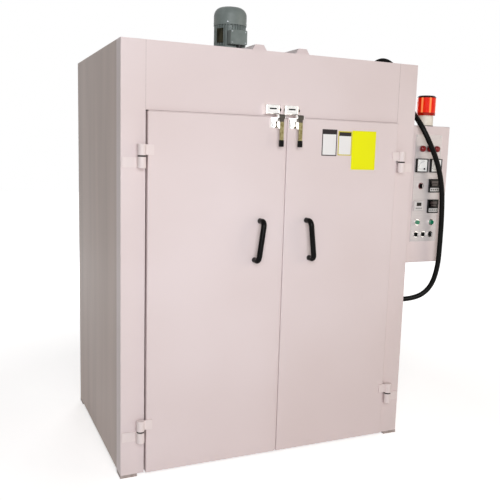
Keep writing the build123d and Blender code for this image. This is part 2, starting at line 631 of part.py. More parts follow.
# Beacon: base, coloured lens and cap
beacon_x = box_x + BEACON_SHIFT
beacon_y = FRONT + BEACON_SETBACK
beacon_mid = box_top + BEACON_BASE_HEIGHT
beacon_base = rod_z(BEACON_BASE_RADIUS, box_top, beacon_mid, beacon_x, beacon_y)
beacon_base = chamfer(beacon_base.edges().filter_by(GeomType.CIRCLE).sort_by(Axis.Z)[-1], 3)
save("beacon_base", beacon_base)
lens = rod_z(BEACON_LENS_RADIUS, beacon_mid, beacon_mid + BEACON_LENS_HEIGHT, beacon_x, beacon_y)
lens = chamfer(lens.edges().filter_by(GeomType.CIRCLE).sort_by(Axis.Z)[-1], BEACON_CAP_THICK)
save("beacon_lens", lens)

# Conduit: leaves an elbow under the terminal box, crosses the roof's edge and hangs down to the wall
gland_x = TERMINAL_X + ELBOW_SHIFT
gland_y = TERMINAL_FRONT + ELBOW_DEPTH
gland_z = terminal_z - ELBOW_DROP
start = (gland_x + GLAND_LENGTH + GLAND_RADIUS, gland_y, gland_z)
elbow_turn = (gland_x, gland_y, gland_z)
elbow = tube_along([(gland_x, gland_y, terminal_z), elbow_turn, start], 17, CONDUIT_RADIUS + 1)
collar = rod_x(GLAND_RADIUS, start[0] - GLAND_LENGTH / 2, start[0], gland_y, gland_z)
wall_turn = Vector(HALF + 25, WALL_GLAND_Y, WALL_GLAND_Z)
toward = (Vector(*CONDUIT_ROUTE[-1]) - wall_turn).normalized()
end = wall_turn + toward * GLAND_LENGTH
wall_gland = tube_along([(HALF, WALL_GLAND_Y, WALL_GLAND_Z), wall_turn, end], 20, CONDUIT_RADIUS + 1)
wall_gland += rod_x(GLAND_RADIUS + 4, HALF, HALF + 5, WALL_GLAND_Y, WALL_GLAND_Z)
wall_gland += Plane(origin=end - toward * 5, z_dir=toward) * Cylinder(GLAND_RADIUS, 10)
save("conduit_glands", elbow + collar, wall_gland)

points = [Vector(*start)] + [Vector(*p) for p in CONDUIT_ROUTE] + [end]
radii = []
for a, b, c in zip(points, points[1:], points[2:]):
    turn = (b - a).get_angle(c - b)
    radii.append(0.45 * min((b - a).length, (c - b).length) / math.tan(math.radians(turn) / 2))
conduit = tube_along(points, radii, CONDUIT_RADIUS)
save("conduit", conduit)
print("conduit arc radii", [round(r) for r in radii])
path_length = FilletPolyline(*points, radius=radii).length
section = math.pi * CONDUIT_RADIUS ** 2
print("conduit length", round(path_length), "volume ratio", round(conduit.volume / (section * path_length), 4))
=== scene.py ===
import bpy
import bmesh
import math
import numpy as np
from mathutils import Matrix, Vector


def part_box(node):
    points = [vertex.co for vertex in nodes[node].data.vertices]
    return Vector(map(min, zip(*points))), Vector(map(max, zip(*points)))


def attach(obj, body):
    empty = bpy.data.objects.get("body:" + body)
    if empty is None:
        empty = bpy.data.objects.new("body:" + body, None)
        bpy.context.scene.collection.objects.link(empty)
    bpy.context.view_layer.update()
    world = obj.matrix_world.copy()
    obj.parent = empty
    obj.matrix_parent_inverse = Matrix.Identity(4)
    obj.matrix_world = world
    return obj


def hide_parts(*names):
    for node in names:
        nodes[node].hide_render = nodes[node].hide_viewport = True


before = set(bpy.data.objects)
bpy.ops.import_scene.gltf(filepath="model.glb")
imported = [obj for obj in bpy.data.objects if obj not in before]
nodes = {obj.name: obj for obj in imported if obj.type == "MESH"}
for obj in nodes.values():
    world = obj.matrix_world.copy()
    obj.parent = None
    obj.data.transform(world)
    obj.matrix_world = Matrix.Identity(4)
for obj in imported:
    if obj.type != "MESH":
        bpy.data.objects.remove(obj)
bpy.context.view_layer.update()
mm = 0.001

# Cabinet shell: walls, back, roof, jambs and header of folded 1.5 mm sheet steel, sprayed with
# a pale pink-grey polyurethane enamel. The panels are never quite flat, so soft reflections
# wander over them. The fine orange peel is drawn coarser than in life, so that it shows.
PAINT = "E5D7D7"
PAINT_SHADE = "D6C5C2"
# The walls' tones: the same enamel drawn darker and warmer, which is painted shade, with faint streaks
# between the two.
PAINT_DUST_AND_SHADE = "C3AEA4"
PAINT_STREAK_AND_SHADE = "B09C92"
PEEL_SIZE = 9 * mm
WAVE_SIZE = 600 * mm
CLOUD_SIZE = 900 * mm
STREAK_WIDTH = 150 * mm
STREAK_LENGTH = 2400 * mm


def srgb(code):
    """Linear colour of sRGB hex: each channel is ((c + 0.055) / 1.055) ^ 2.4, or c / 12.92 if small."""
    channels = [int(code[i:i + 2], 16) / 255 for i in (0, 2, 4)]
    return [c / 12.92 if c <= 0.04045 else ((c + 0.055) / 1.055) ** 2.4 for c in channels] + [1.0]


def add(owner, kind, settings=None, links=None):
    """Adds one node: settings by property or input name, links by input name or number."""
    node = owner.node_tree.nodes.new(kind)
    for key, value in (settings or {}).items():
        if isinstance(key, int) or key in node.inputs:
            node.inputs[key].default_value = value
        else:
            setattr(node, key, value)
    for key, output in (links or {}).items():
        owner.node_tree.links.new(output, node.inputs[key])
    return node


def blank(name):
    """A material with nothing but its output, a surface shader and the object's own coordinates."""
    material = bpy.data.materials.new(name)
    material.use_nodes = True
    material.node_tree.nodes.clear()
    shader = add(material, "ShaderNodeBsdfPrincipled")
    add(material, "ShaderNodeOutputMaterial", links={"Surface": shader.outputs[0]})
    place = add(material, "ShaderNodeTexCoord").outputs["Object"]
    return material, shader, place


def noise(material, place, size, detail=3.0, stretch=(1, 1, 1)):
    """Soft random field whose lumps are about size metres wide, drawn out along an axis by stretch."""
    scale = [1 / (size * s) for s in stretch]
    place = add(material, "ShaderNodeMapping", {"Scale": scale}, {"Vector": place}).outputs[0]
    settings = {"Scale": 1.0, "Detail": detail}
    return add(material, "ShaderNodeTexNoise", settings, {"Vector": place}).outputs[0]


def blend_colours(material, shader, field, first, second, low=0.35, high=0.65):
    """Base colour that runs from first to second, hex or outputs, while the field runs from low to high."""
    limits = {"From Min": low, "From Max": high}
    ramp = add(material, "ShaderNodeMapRange", limits, {"Value": field}).outputs[0]
    mix = add(material, "ShaderNodeMix", {"data_type": "RGBA"}, {0: ramp})
    for index, tone in ((6, first), (7, second)):
        if isinstance(tone, str):
            mix.inputs[index].default_value = srgb(tone)
        else:
            material.node_tree.links.new(tone, mix.inputs[index])
    material.node_tree.links.new(mix.outputs[2], shader.inputs["Base Color"])
    return mix.outputs[2]


def varied_gloss(material, shader, field, smooth, rough):
    """Roughness that runs from smooth to rough while the field runs from 0 to 1."""
    limits = {"To Min": smooth, "To Max": rough}
    gloss = add(material, "ShaderNodeMapRange", limits, {"Value": field}).outputs[0]
    material.node_tree.links.new(gloss, shader.inputs["Roughness"])


def bumped(material, shader, fields):
    """Bump from height fields (field, strength, depth in metres), laid one on the other."""
    normal = None
    for field, strength, depth in fields:
        links = {"Height": field}
        if normal is not None:
            links["Normal"] = normal
        normal = add(material, "ShaderNodeBump", {"Strength": strength, "Distance": depth}, links).outputs[0]
    material.node_tree.links.new(normal, shader.inputs["Normal"])


def enamel_paint(name, colour, shade, dust_and_shade_tones=None):
    """Sprayed polyurethane enamel: satin, with orange peel; given two more tones, upright faces are drawn in
    them as faint streaks over painted shade.
    """
    material, shader, place = blank(name)
    clouds = noise(material, place, CLOUD_SIZE, 2.0)
    tone = blend_colours(material, shader, clouds, colour, shade, 0.3, 0.9)
    # Upright faces take the darker streaked tones: painted shade, with faint streaks.
    if dust_and_shade_tones:
        runs = noise(material, place, STREAK_WIDTH, 2.0, (1, 1, STREAK_LENGTH / STREAK_WIDTH))
        dust_and_shade = blend_colours(material, shader, runs, *dust_and_shade_tones, 0.4, 0.75)
        normal = add(material, "ShaderNodeNewGeometry").outputs["Normal"]
        upward = add(material, "ShaderNodeSeparateXYZ", links={"Vector": normal}).outputs["Z"]
        blend_colours(material, shader, upward, dust_and_shade, tone, 0.3, 0.7)
    varied_gloss(material, shader, clouds, 0.34, 0.46)
    shader.inputs["Specular IOR Level"].default_value = 0.3
    peel = noise(material, place, PEEL_SIZE, 1.0)
    wave = noise(material, place, WAVE_SIZE, 1.0)
    bumped(material, shader, [(wave, 0.25, 4 * mm), (peel, 0.1, 0.4 * mm)])
    return material


def dress(material, *names):
    """Gives carried-over nodes their material."""
    for name in names:
        slots = nodes[name].data.materials
        slots.clear()
        slots.append(material)


front_enamel = enamel_paint("pink_grey_enamel", PAINT, PAINT_SHADE)
# The walls get the darker, warmer copy of the enamel: painted shade with faint streaks.
side_enamel_shaded = enamel_paint("pink_grey_enamel_dust_and_shade", PAINT, PAINT_SHADE, (PAINT_DUST_AND_SHADE, PAINT_STREAK_AND_SHADE))
dress(side_enamel_shaded, "left_wall", "right_wall", "back_wall")
dress(front_enamel, "left_jamb", "right_jamb", "header_panel", "roof_panel", "roof_ribs")

# Seams: the jambs and the header are separate foldings that butt against each other,
# with a hair of shadow between them. Each seam is a thin line of dark joint sealer.
# The axes below are a face's right, up and out.
SEAM_WIDTH = 1.2 * mm
SEAM_PROUD = 0.4 * mm
CREASE = math.radians(40)
FRONT = ((1, 0, 0), (0, 0, 1), (0, -1, 0))
ROOF = ((1, 0, 0), (0, 1, 0), (0, 0, 1))
RIGHT = ((0, 1, 0), (0, 0, 1), (1, 0, 0))
LEFT = ((0, -1, 0), (0, 0, 1), (-1, 0, 0))


def outline(width, height, corner, count=32):
    """Rounded rectangle: each quarter's corner centre plus the corner radius along (cos t, sin t)."""
    t = (np.arange(count) + 0.5) * 2 * np.pi / count
    corner = min(corner, width / 2, height / 2)
    x = (width / 2 - corner) * np.sign(np.cos(t)) + corner * np.cos(t)
    y = (height / 2 - corner) * np.sign(np.sin(t)) + corner * np.sin(t)
    return np.stack([x, y], axis=-1)


def stacked(layers, corner, count=32):
    """Rings of a raised form: a layer (width, height, level) is a rounded outline at that level."""
    rings = []
    for width, height, level in layers:
        flat = outline(width, height, corner, count)
        rings.append(np.concatenate([flat, np.full((count, 1), level)], axis=1))
    return np.array(rings)


def bar(width, height, thick, corner=0.3 * mm, count=8):
    """Rings of a flat bar: the same outline at its foot and at its top."""
    return stacked([(width, height, 0), (width, height, thick)], corner, count)


def turned(profile, count=24):
    """Rings of a turned form: a profile point (radius, level) is a circle of that radius at that level."""
    return stacked([(2 * r, 2 * r, level) for r, level in profile], 1.0, count)


def placed(rings, centres, axes):
    """Copies of local rings: each point is the centre plus its three parts along right, up and out."""
    centres = np.asarray(centres, float).reshape(-1, 1, 1, 3)
    return centres + rings[None] @ np.asarray(axes, float)


def spun(rings, angle):
    """Local rings turned about their outward axis: x cos a - y sin a, x sin a + y cos a."""
    x, y = rings[..., 0], rings[..., 1]
    right = x * np.cos(angle) - y * np.sin(angle)
    up = x * np.sin(angle) + y * np.cos(angle)
    return np.stack([right, up, rings[..., 2]], axis=-1)


def moved(rings, right=0.0, up=0.0, out=0.0):
    """Local rings shifted by (right, up, out)."""
    return rings + np.array([right, up, out])


def facing(angle):
    """Axes of an upright face that looks the given angle to the left of the front."""
    return ((math.cos(angle), -math.sin(angle), 0), (0, 0, 1), (-math.sin(angle), -math.cos(angle), 0))


def collar(outer, inner, height, count=32):
    """Rings round a flat washer's section: up the outer wall, over the top and down the inner wall."""
    return turned([(outer, 0), (outer, height), (inner, height), (inner, 0)], count)


def skin(name, rings, body, material, looped=False):
    """One mesh over rings[copy, ring, point]: quads between the rings, and flat or joined ends."""
    copies, levels, count, _ = rings.shape
    here = np.arange(count)
    after = np.roll(here, -1)
    lower = np.arange(levels if looped else levels - 1)[:, None]
    start = lower * count
    above = (lower + 1) % levels * count
    quads = np.stack([start + here, start + after, above + after, above + here], axis=-1).reshape(-1, 4)
    offsets = np.arange(copies)[:, None, None] * levels * count
    faces = (quads[None] + offsets).reshape(-1, 4).tolist()
    for copy in range(0 if looped else copies):
        first = copy * levels * count
        faces += [(first + here[::-1]).tolist(), (first + (levels - 1) * count + here).tolist()]
    mesh = bpy.data.meshes.new(name)
    mesh.from_pydata(rings.reshape(-1, 3).tolist(), [], faces)
    shell = bmesh.new()
    shell.from_mesh(mesh)
    bmesh.ops.recalc_face_normals(shell, faces=shell.faces)
    shell.to_mesh(mesh)
    shell.free()
    mesh.shade_smooth()
    mesh.set_sharp_from_angle(angle=CREASE)
    mesh.materials.append(material)
    piece = bpy.data.objects.new(name, mesh)
    bpy.context.scene.collection.objects.link(piece)
    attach(piece, body)


def joint_sealer():
    """Polyurethane sealer in a sheet-metal joint: matt, a muted brown-grey line."""
    material, shader, place = blank("joint_sealer")
    blend_colours(material, shader, noise(material, place, 12 * mm), "A19390", "B8AAA7")
    shader.inputs["Roughness"].default_value = 0.8
    return material


sealer = joint_sealer()
header_low, header_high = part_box("header_panel")
seam_height = header_high.z - header_low.z
seam_line = bar(SEAM_WIDTH, seam_height, SEAM_PROUD, 0.5 * mm)
seam_middle = (header_low.z + header_high.z) / 2
seam_places = [(x, header_low.y, seam_middle) for x in (header_low.x, header_high.x)]
skin("header_seams", placed(seam_line, seam_places, FRONT), "cabinet", sealer)

# Chamber: floor pan, head stop, ceiling baffle and side duct panels of stainless sheet,
# folded and screwed in. It is brushed along one way, so its gloss is drawn out; the grain is
# far finer in life, and is drawn 3 mm wide so that it shows.
LINER = "B9BCBC"
LINER_DARK = "8E9292"
BRUSH_WIDTH = 3 * mm
BRUSH_LENGTH = 400 * mm
LINER_THICK = 1.5 * mm
LOUVRE_LENGTH = 90 * mm
LOUVRE_HEIGHT = 14 * mm
LOUVRE_OUT = 6 * mm
LOUVRE_TAPER = 8 * mm
LOUVRE_ROWS = 8
LOUVRE_COLUMNS = 5
ROW_INSET = 150 * mm
COLUMN_INSET = 120 * mm


def stainless_sheet(name, along, rough=0.38):
    """Brushed stainless: metallic, its grain drawn out along one axis as fine light and dark lines."""
    material, shader, place = blank(name)
    stretch = [BRUSH_LENGTH / BRUSH_WIDTH if axis == along else 1 for axis in "xyz"]
    grain = noise(material, place, BRUSH_WIDTH, 3.0, stretch)
    blend_colours(material, shader, grain, LINER, LINER_DARK, 0.3, 0.8)
    shader.inputs["Metallic"].default_value = 1.0
    shader.inputs["Roughness"].default_value = rough
    bumped(material, shader, [(grain, 0.15, 0.2 * mm)])
    return material


liner = stainless_sheet("brushed_stainless", "z", 0.3)
dress(liner, "duct_panels", "left_door_plug", "right_door_plug")
dress(stainless_sheet("brushed_stainless_floor", "y"), "floor_pan", "ceiling_baffle")
dress(stainless_sheet("brushed_stainless_head", "x"), "head_stop")

floor_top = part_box("floor_pan")[1].z
baffle_low, baffle_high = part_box("ceiling_baffle")
back_height = baffle_low.z - floor_top
back_sheet = bar(baffle_high.x - baffle_low.x, back_height, LINER_THICK, 1 * mm)
back_place = [(0, baffle_high.y, floor_top + back_height / 2)]
skin("back_liner", placed(back_sheet, back_place, FRONT), "cabinet", liner)
louvre = stacked([(LOUVRE_LENGTH, LOUVRE_HEIGHT, 0), (LOUVRE_LENGTH, LOUVRE_HEIGHT, 1 * mm),
                  (LOUVRE_LENGTH - LOUVRE_TAPER, LOUVRE_HEIGHT / 2, LOUVRE_OUT)], 4 * mm, 16)
rows = np.linspace(floor_top + ROW_INSET, baffle_low.z - ROW_INSET, LOUVRE_ROWS)
columns = np.linspace(baffle_low.y + COLUMN_INSET, baffle_high.y - COLUMN_INSET, LOUVRE_COLUMNS)
for side, wall_x, axes in (("left", baffle_low.x, RIGHT), ("right", baffle_high.x, LEFT)):
    places = [(wall_x, y, z) for y in columns for z in rows]
    skin(f"{side}_duct_louvres", placed(louvre, places, axes), "cabinet", liner)

# Foot plates: four pads of hot-rolled steel plate, welded under the cabinet's corners
# and brushed with a matt zinc primer.
PRIMER = "B5A7A3"
PRIMER_SCUFFED = "94877F"


def primer_coat():
    """Zinc primer on hot-rolled plate: matt and slightly gritty, darker where it is scuffed."""
    material, shader, place = blank("zinc_primer")
    blend_colours(material, shader, noise(material, place, 30 * mm), PRIMER, PRIMER_SCUFFED)
    shader.inputs["Roughness"].default_value = 0.65
    bumped(material, shader, [(noise(material, place, 4 * mm), 0.3, 0.5 * mm)])
    return material


dress(primer_coat(), "foot_plates")

# Fan wheel: blades, back plate and shroud of galvanised sheet riveted and welded on a steel shaft.
# The zinc shows as patches of slightly different grey.
SPANGLE_SIZE = 14 * mm
ZINC_GREY = "A3A8AA"
ZINC_GREY_DARK = "868B8E"


def galvanised_sheet():
    """Hot-dip galvanised steel: metallic, with flat crystals that each catch the light in their own way."""
    material, shader, place = blank("galvanised_steel")
    scale = {"Scale": 1 / SPANGLE_SIZE}
    spangle = add(material, "ShaderNodeTexVoronoi", scale, {"Vector": place}).outputs["Color"]
    flakes = add(material, "ShaderNodeSeparateColor", links={"Color": spangle}).outputs[0]
    blend_colours(material, shader, flakes, ZINC_GREY, ZINC_GREY_DARK, 0.0, 1.0)
    varied_gloss(material, shader, flakes, 0.32, 0.5)
    shader.inputs["Metallic"].default_value = 1.0
    return material


dress(galvanised_sheet(), "fan_wheel")

# Motor: finned cast frame on a flange, pressed cowl over its own fan, and a terminal box,
# all in one grey-green hammered machine paint. It stands on a lantern across the roof ribs.
MOTOR_PAINT = "8A9390"
MOTOR_PAINT_DARK = "6D7774"
HAMMER_SIZE = 5 * mm
BOLT_ACROSS = 15 * mm
BOLT_HEIGHT = 7 * mm
BOLT_REACH_X = 108 * mm
BOLT_REACH_Y = 62 * mm
STOOL_PLATE = 10 * mm
NAMEPLATE_WIDTH = 42 * mm
NAMEPLATE_HEIGHT = 78 * mm
NAMEPLATE_RISE = 56 * mm
NAMEPLATE_SUNK = 6 * mm
NAMEPLATE_PROUD = 2 * mm
NAMEPLATE_ANGLE = math.radians(59)
COWL_SCREW_RADIUS = 4 * mm
COWL_SCREW_RISE = 12 * mm
COWL_SCREW_ANGLES = (30, 120, 210, 300)
LID_SCREW_RADIUS = 3.5 * mm
LID_SCREW_INSET = 9 * mm


def hammered_paint():
    """Hammer-finish alkyd enamel: dimples a few millimetres wide, in a slightly uneven grey-green."""
    material, shader, place = blank("hammered_enamel")
    dimples = noise(material, place, HAMMER_SIZE, 2.0)
    tone = noise(material, place, 60 * mm)
    blend_colours(material, shader, tone, MOTOR_PAINT, MOTOR_PAINT_DARK, 0.35, 0.9)
    shader.inputs["Roughness"].default_value = 0.4
    shader.inputs["Specular IOR Level"].default_value = 0.3
    bumped(material, shader, [(dimples, 0.35, 0.8 * mm)])
    return material


def zinc_plating():
    """Bright zinc plating on screws and bolts: metallic, faintly blue, a little dull."""
    material, shader, place = blank("bright_zinc")
    blend_colours(material, shader, noise(material, place, 6 * mm), "C9CCCE", "A5A9AC")
    shader.inputs["Metallic"].default_value = 1.0
    shader.inputs["Roughness"].default_value = 0.3
    return material


def star(radius, depth, level, count=24):
    """Cross recess of a screw: the radius swells to four arms with |cos 2t| ^ 6, at one level."""
    t = (np.arange(count) + 0.5) * 2 * np.pi / count
    r = radius * (depth + (1 - depth) * np.abs(np.cos(2 * t)) ** 6)
    return np.stack([r * np.cos(t), r * np.sin(t), np.full(count, level)], axis=-1)


def pan_screw(radius):
    """Pan head screw: a low turned dome with a cross recess sunk into its top."""
    profile = [(1, 0), (1, 0.3), (0.86, 0.55), (0.62, 0.66)]
    dome = turned([(r * radius, level * radius) for r, level in profile])
    recess = [star(0.55 * radius, 0.3, 0.66 * radius), star(0.5 * radius, 0.3, 0.25 * radius)]
    return np.concatenate([dome, np.array(recess)])


def hex_bolt(across, height, count=24):
    """Hexagon head on a washer: its radius is half its width over the cosine from a flat's middle."""
    t = (np.arange(count) + 0.5) * 2 * np.pi / count
    r = across / 2 / np.cos((t + np.pi / 6) % (np.pi / 3) - np.pi / 6)
    ring = [np.stack([s * r * np.cos(t), s * r * np.sin(t), np.full(count, z)], axis=-1)
            for s, z in ((1.0, 0.12 * height), (1.0, 0.88 * height), (0.86, height))]
    washer = turned([(0.85 * across, 0), (0.85 * across, 0.12 * height)], count)
    return np.concatenate([washer, np.array(ring)])


hammered = hammered_paint()
zinc = zinc_plating()
dress(hammered, "motor_stool", "motor_flange", "motor_frame", "motor_fan_cowl", "motor_terminal_box")
frame_low, frame_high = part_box("motor_frame")
stool_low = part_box("motor_stool")[0]
cowl_low, cowl_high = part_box("motor_fan_cowl")
box_low, box_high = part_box("motor_terminal_box")
motor_x = (frame_low.x + frame_high.x) / 2
motor_y = (frame_low.y + frame_high.y) / 2
stool_plate_top = stool_low.z + STOOL_PLATE
stool_bolts = [(motor_x + x, motor_y + y, stool_plate_top)
               for x in (-BOLT_REACH_X, BOLT_REACH_X) for y in (-BOLT_REACH_Y, BOLT_REACH_Y)]
bolt_rings = placed(hex_bolt(BOLT_ACROSS, BOLT_HEIGHT), stool_bolts, ROOF)
skin("stool_bolts", bolt_rings, "cabinet", zinc)


def browned_brass():
    """Bare plate of browned brass: metallic, with darker patches drawn out upwards."""
    material, shader, place = blank("browned_brass")
    blend_colours(material, shader, noise(material, place, 20 * mm, stretch=(1, 1, 4)), "37352A", "191812")
    shader.inputs["Metallic"].default_value = 1.0
    shader.inputs["Roughness"].default_value = 0.35
    return material


fin_radius = (frame_high.x - frame_low.x) / 2
plate_form = [(NAMEPLATE_WIDTH, NAMEPLATE_HEIGHT, -NAMEPLATE_SUNK),
              (NAMEPLATE_WIDTH, NAMEPLATE_HEIGHT, NAMEPLATE_PROUD / 2),
              (NAMEPLATE_WIDTH - 2 * mm, NAMEPLATE_HEIGHT - 2 * mm, NAMEPLATE_PROUD)]
motor_plate = moved(stacked(plate_form, 3 * mm), out=fin_radius)
plate_place = [(motor_x, motor_y, frame_low.z + NAMEPLATE_RISE)]
plate_rings = placed(motor_plate, plate_place, facing(NAMEPLATE_ANGLE))
skin("motor_nameplate", plate_rings, "cabinet", browned_brass())
cowl_radius = (cowl_high.x - cowl_low.x) / 2
cowl_screw = moved(pan_screw(COWL_SCREW_RADIUS), out=cowl_radius - 0.5 * mm)
cowl_middle = [(motor_x, motor_y, cowl_low.z + COWL_SCREW_RISE)]
cowl_screws = [placed(cowl_screw, cowl_middle, facing(math.radians(a))) for a in COWL_SCREW_ANGLES]
skin("cowl_screws", np.concatenate(cowl_screws), "cabinet", zinc)
lid_screws = [(x, box_low.y, z) for x in (box_low.x + LID_SCREW_INSET, box_high.x - LID_SCREW_INSET)
              for z in (box_low.z + LID_SCREW_INSET, box_high.z - LID_SCREW_INSET)]
skin("lid_screws", placed(pan_screw(LID_SCREW_RADIUS), lid_screws, FRONT), "cabinet", zinc)

# Doors: folded pans in the same enamel as the front, closed behind by a stainless plug
# and sealed by a square silicone cord. The handles are bent steel bars in gloss black.
HANDLE_BLACK = "090807"
HANDLE_BLACK_LIGHT = "0E0D0C"
GASKET_RED = "8E3B2C"
GASKET_RED_DARK = "7A3024"


def silicone_rubber():
    """Extruded silicone gasket: matt brick red, a little translucent at the skin."""
    material, shader, place = blank("silicone_rubber")
    blend_colours(material, shader, noise(material, place, 25 * mm), GASKET_RED, GASKET_RED_DARK)
    shader.inputs["Roughness"].default_value = 0.6
    shader.inputs["Sheen Weight"].default_value = 0.3
    return material


def black_enamel():
    """Stoved black enamel on round bar: deep gloss that shows the lights as narrow streaks."""
    material, shader, place = blank("stoved_black_enamel")
    blend_colours(material, shader, noise(material, place, 40 * mm), HANDLE_BLACK, HANDLE_BLACK_LIGHT)
    shader.inputs["Roughness"].default_value = 0.14
    shader.inputs["Specular IOR Level"].default_value = 0.08
    return material


dress(front_enamel, "left_door_panel", "right_door_panel")
dress(silicone_rubber(), "left_door_gasket", "right_door_gasket")
dress(black_enamel(), "left_door_handle", "right_door_handle")

# Hinges: turned steel barrels welded to the jambs and the doors and enamelled with them. The upper
# half of each turns on the lower one's pin, over a moulded washer drawn near-black: painted shadow.
BARREL_RADIUS = 19 * mm
BARREL_HALF = 50 * mm
BARREL_GAP = 7.3 * mm
PIN_LENGTH = 40 * mm
WASHER_RADIUS = 17.5 * mm
WASHER_BORE = 11.3 * mm
WASHER_THICK = 6.5 * mm
MOULD_GRAIN = 1.5 * mm


def moulded_plastic(name, colour, second, rough, gloss=0.5):
    """Moulded plastic: even colour, with a spark-eroded grain that is drawn coarser so that it shows."""
    material, shader, place = blank(name)
    blend_colours(material, shader, noise(material, place, 20 * mm), colour, second)
    shader.inputs["Roughness"].default_value = rough
    shader.inputs["Specular IOR Level"].default_value = gloss
    bumped(material, shader, [(noise(material, place, MOULD_GRAIN, 1.0), 0.08, 0.2 * mm)])
    return material


# The hinge halves get a lighter copy of the body enamel: painted light, for the highlights on the barrels.
dress(enamel_paint("pink_grey_enamel_hinges_painted_light", "EBDFDD", "DCCCC9"), "left_jamb_hinge_halves",
      "right_jamb_hinge_halves", "left_door_hinge_halves", "right_door_hinge_halves")
washer_ring = collar(WASHER_RADIUS, WASHER_BORE, WASHER_THICK)
washer_ring = moved(washer_ring, out=(BARREL_GAP - WASHER_THICK) / 2)
# The washers are drawn near-black: painted shadow of the gap between the barrel halves.
gap_shadow_black = moulded_plastic("near_black_washer_painted_shadow", "1A1614", "2A2421", 0.7, gloss=0.2)
for side in ("left", "right"):
    hinge_low, hinge_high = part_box(f"{side}_jamb_hinge_halves")
    pin_x = hinge_low.x + BARREL_RADIUS if side == "right" else hinge_high.x - BARREL_RADIUS
    washers = [(pin_x, hinge_low.y + BARREL_RADIUS, z)
               for z in (hinge_low.z + BARREL_HALF, hinge_high.z - PIN_LENGTH - BARREL_GAP)]
    rings = placed(washer_ring, washers, ROOF)
    skin(f"{side}_hinge_washers", rings, "cabinet", gap_shadow_black, looped=True)

# Door edges: thin returns of the doors' own sheet, folded along the free edges, that cover
# the gap between the two doors and the one under the header.
LIP_WIDTH = 7 * mm
LIP_DEPTH = 8 * mm
LIP_SETBACK = 5 * mm
LIP_SHORTER = 8 * mm
TOP_LIP = 3 * mm


def edge_lip(name, side, width, height, right, up):
    """Folded return of the door's skin: a strip beside the door's edge, a little behind its face."""
    low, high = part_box(f"{side}_door_panel")
    rings = bar(width, height, LIP_DEPTH, 1 * mm)
    middle = ((low.x + high.x) / 2 + right, low.y + LIP_SETBACK + LIP_DEPTH, (low.z + high.z) / 2 + up)
    skin(name, placed(rings, [middle], FRONT), f"{side}_door", front_enamel)


door_low, door_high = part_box("left_door_panel")
door_width = door_high.x - door_low.x
door_height = door_high.z - door_low.z
lip_right = (door_width + LIP_WIDTH) / 2
edge_lip("left_door_lip", "left", LIP_WIDTH, door_height - LIP_SHORTER, lip_right, 0)
top_lip_up = (door_height + TOP_LIP) / 2
for side in ("left", "right"):
    edge_lip(f"{side}_door_top_lip", side, door_width - LIP_SHORTER, TOP_LIP, 0, top_lip_up)

# Latches: die-cast keepers and bases in bright chrome, and a pressed lever in yellow zinc
# with a black moulded grip over its end.
GRIP_LENGTH = 31 * mm
HEAD_LENGTH = 34 * mm
LEVER_WIDTH = 19 * mm
KEEPER_WIDTH = 76 * mm
THROAT_WIDTH = 35 * mm
THROAT_HEIGHT = 6 * mm
THROAT_PROUD = 3 * mm
THROAT_SETBACK = 6 * mm
THROAT_RISE = 3.5 * mm
ROLLER_STUB = 8 * mm
ROLLER_RADIUS = 7.5 * mm
ROLLER_LENGTH = 8.4 * mm
LATCH_BASE_THICK = 6 * mm
BASE_SCREW_RADIUS = 4 * mm
BASE_SCREW_INSET = 10 * mm
BASE_SCREW_RISES = (12 * mm, 37 * mm)
lever_low, lever_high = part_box("left_latch_lever")
grip_top = lever_low.z + GRIP_LENGTH
head_bottom = lever_high.z - HEAD_LENGTH


def bright_chrome():
    """Chromium plate on die-cast zinc: a bright mirror with slightly milky patches."""
    material, shader, place = blank("bright_chrome")
    wear = noise(material, place, 18 * mm)
    blend_colours(material, shader, wear, "FAF8F5", "ECE9E5")
    varied_gloss(material, shader, wear, 0.12, 0.28)
    shader.inputs["Metallic"].default_value = 1.0
    return material


def lever_plating(name, arm_left):
    """Yellow chromate on the arm, chrome left of arm_left, a head drawn dark grey as painted reflection, and
    a black grip.
    """
    material, shader, place = blank(name)
    parts = add(material, "ShaderNodeSeparateXYZ", links={"Vector": place})
    height = parts.outputs["Z"]
    patina = noise(material, place, 9 * mm)
    chromate = blend_colours(material, shader, patina, "A39A72", "7A6F48")
    left_of_arm = {"operation": "LESS_THAN", 1: arm_left}
    link = add(material, "ShaderNodeMath", left_of_arm, {0: parts.outputs["X"]}).outputs[0]
    plated = blend_colours(material, shader, link, chromate, "E9E6E1", 0.0, 1.0)
    # The head is drawn dark grey: painted reflection in its chrome.
    head_edge = {"From Min": head_bottom - 4 * mm, "From Max": head_bottom}
    head = add(material, "ShaderNodeMapRange", head_edge, {"Value": height}).outputs[0]
    metal = blend_colours(material, shader, head, plated, "55504A", 0.0, 1.0)
    under_grip = {"operation": "LESS_THAN", 1: grip_top}
    grip = add(material, "ShaderNodeMath", under_grip, {0: height}).outputs[0]
    blend_colours(material, shader, grip, metal, "0E0E0E", 0.0, 1.0)
    metallic = add(material, "ShaderNodeMath", {"operation": "SUBTRACT", 0: 1.0}, {1: grip}).outputs[0]
    material.node_tree.links.new(metallic, shader.inputs["Metallic"])
    shader.inputs["Roughness"].default_value = 0.32
    shader.inputs["Specular IOR Level"].default_value = 0.1
    return material


def near_black_and_slot_shade():
    """Matt near-black with nothing shining back: painted shade inside the keepers' slots, also used on the
    catch rollers and the beacon's ring.
    """
    material, shader, place = blank("black_and_slot_shade")
    blend_colours(material, shader, noise(material, place, 5 * mm), "0C0B0A", "171513")
    shader.inputs["Roughness"].default_value = 0.9
    return material


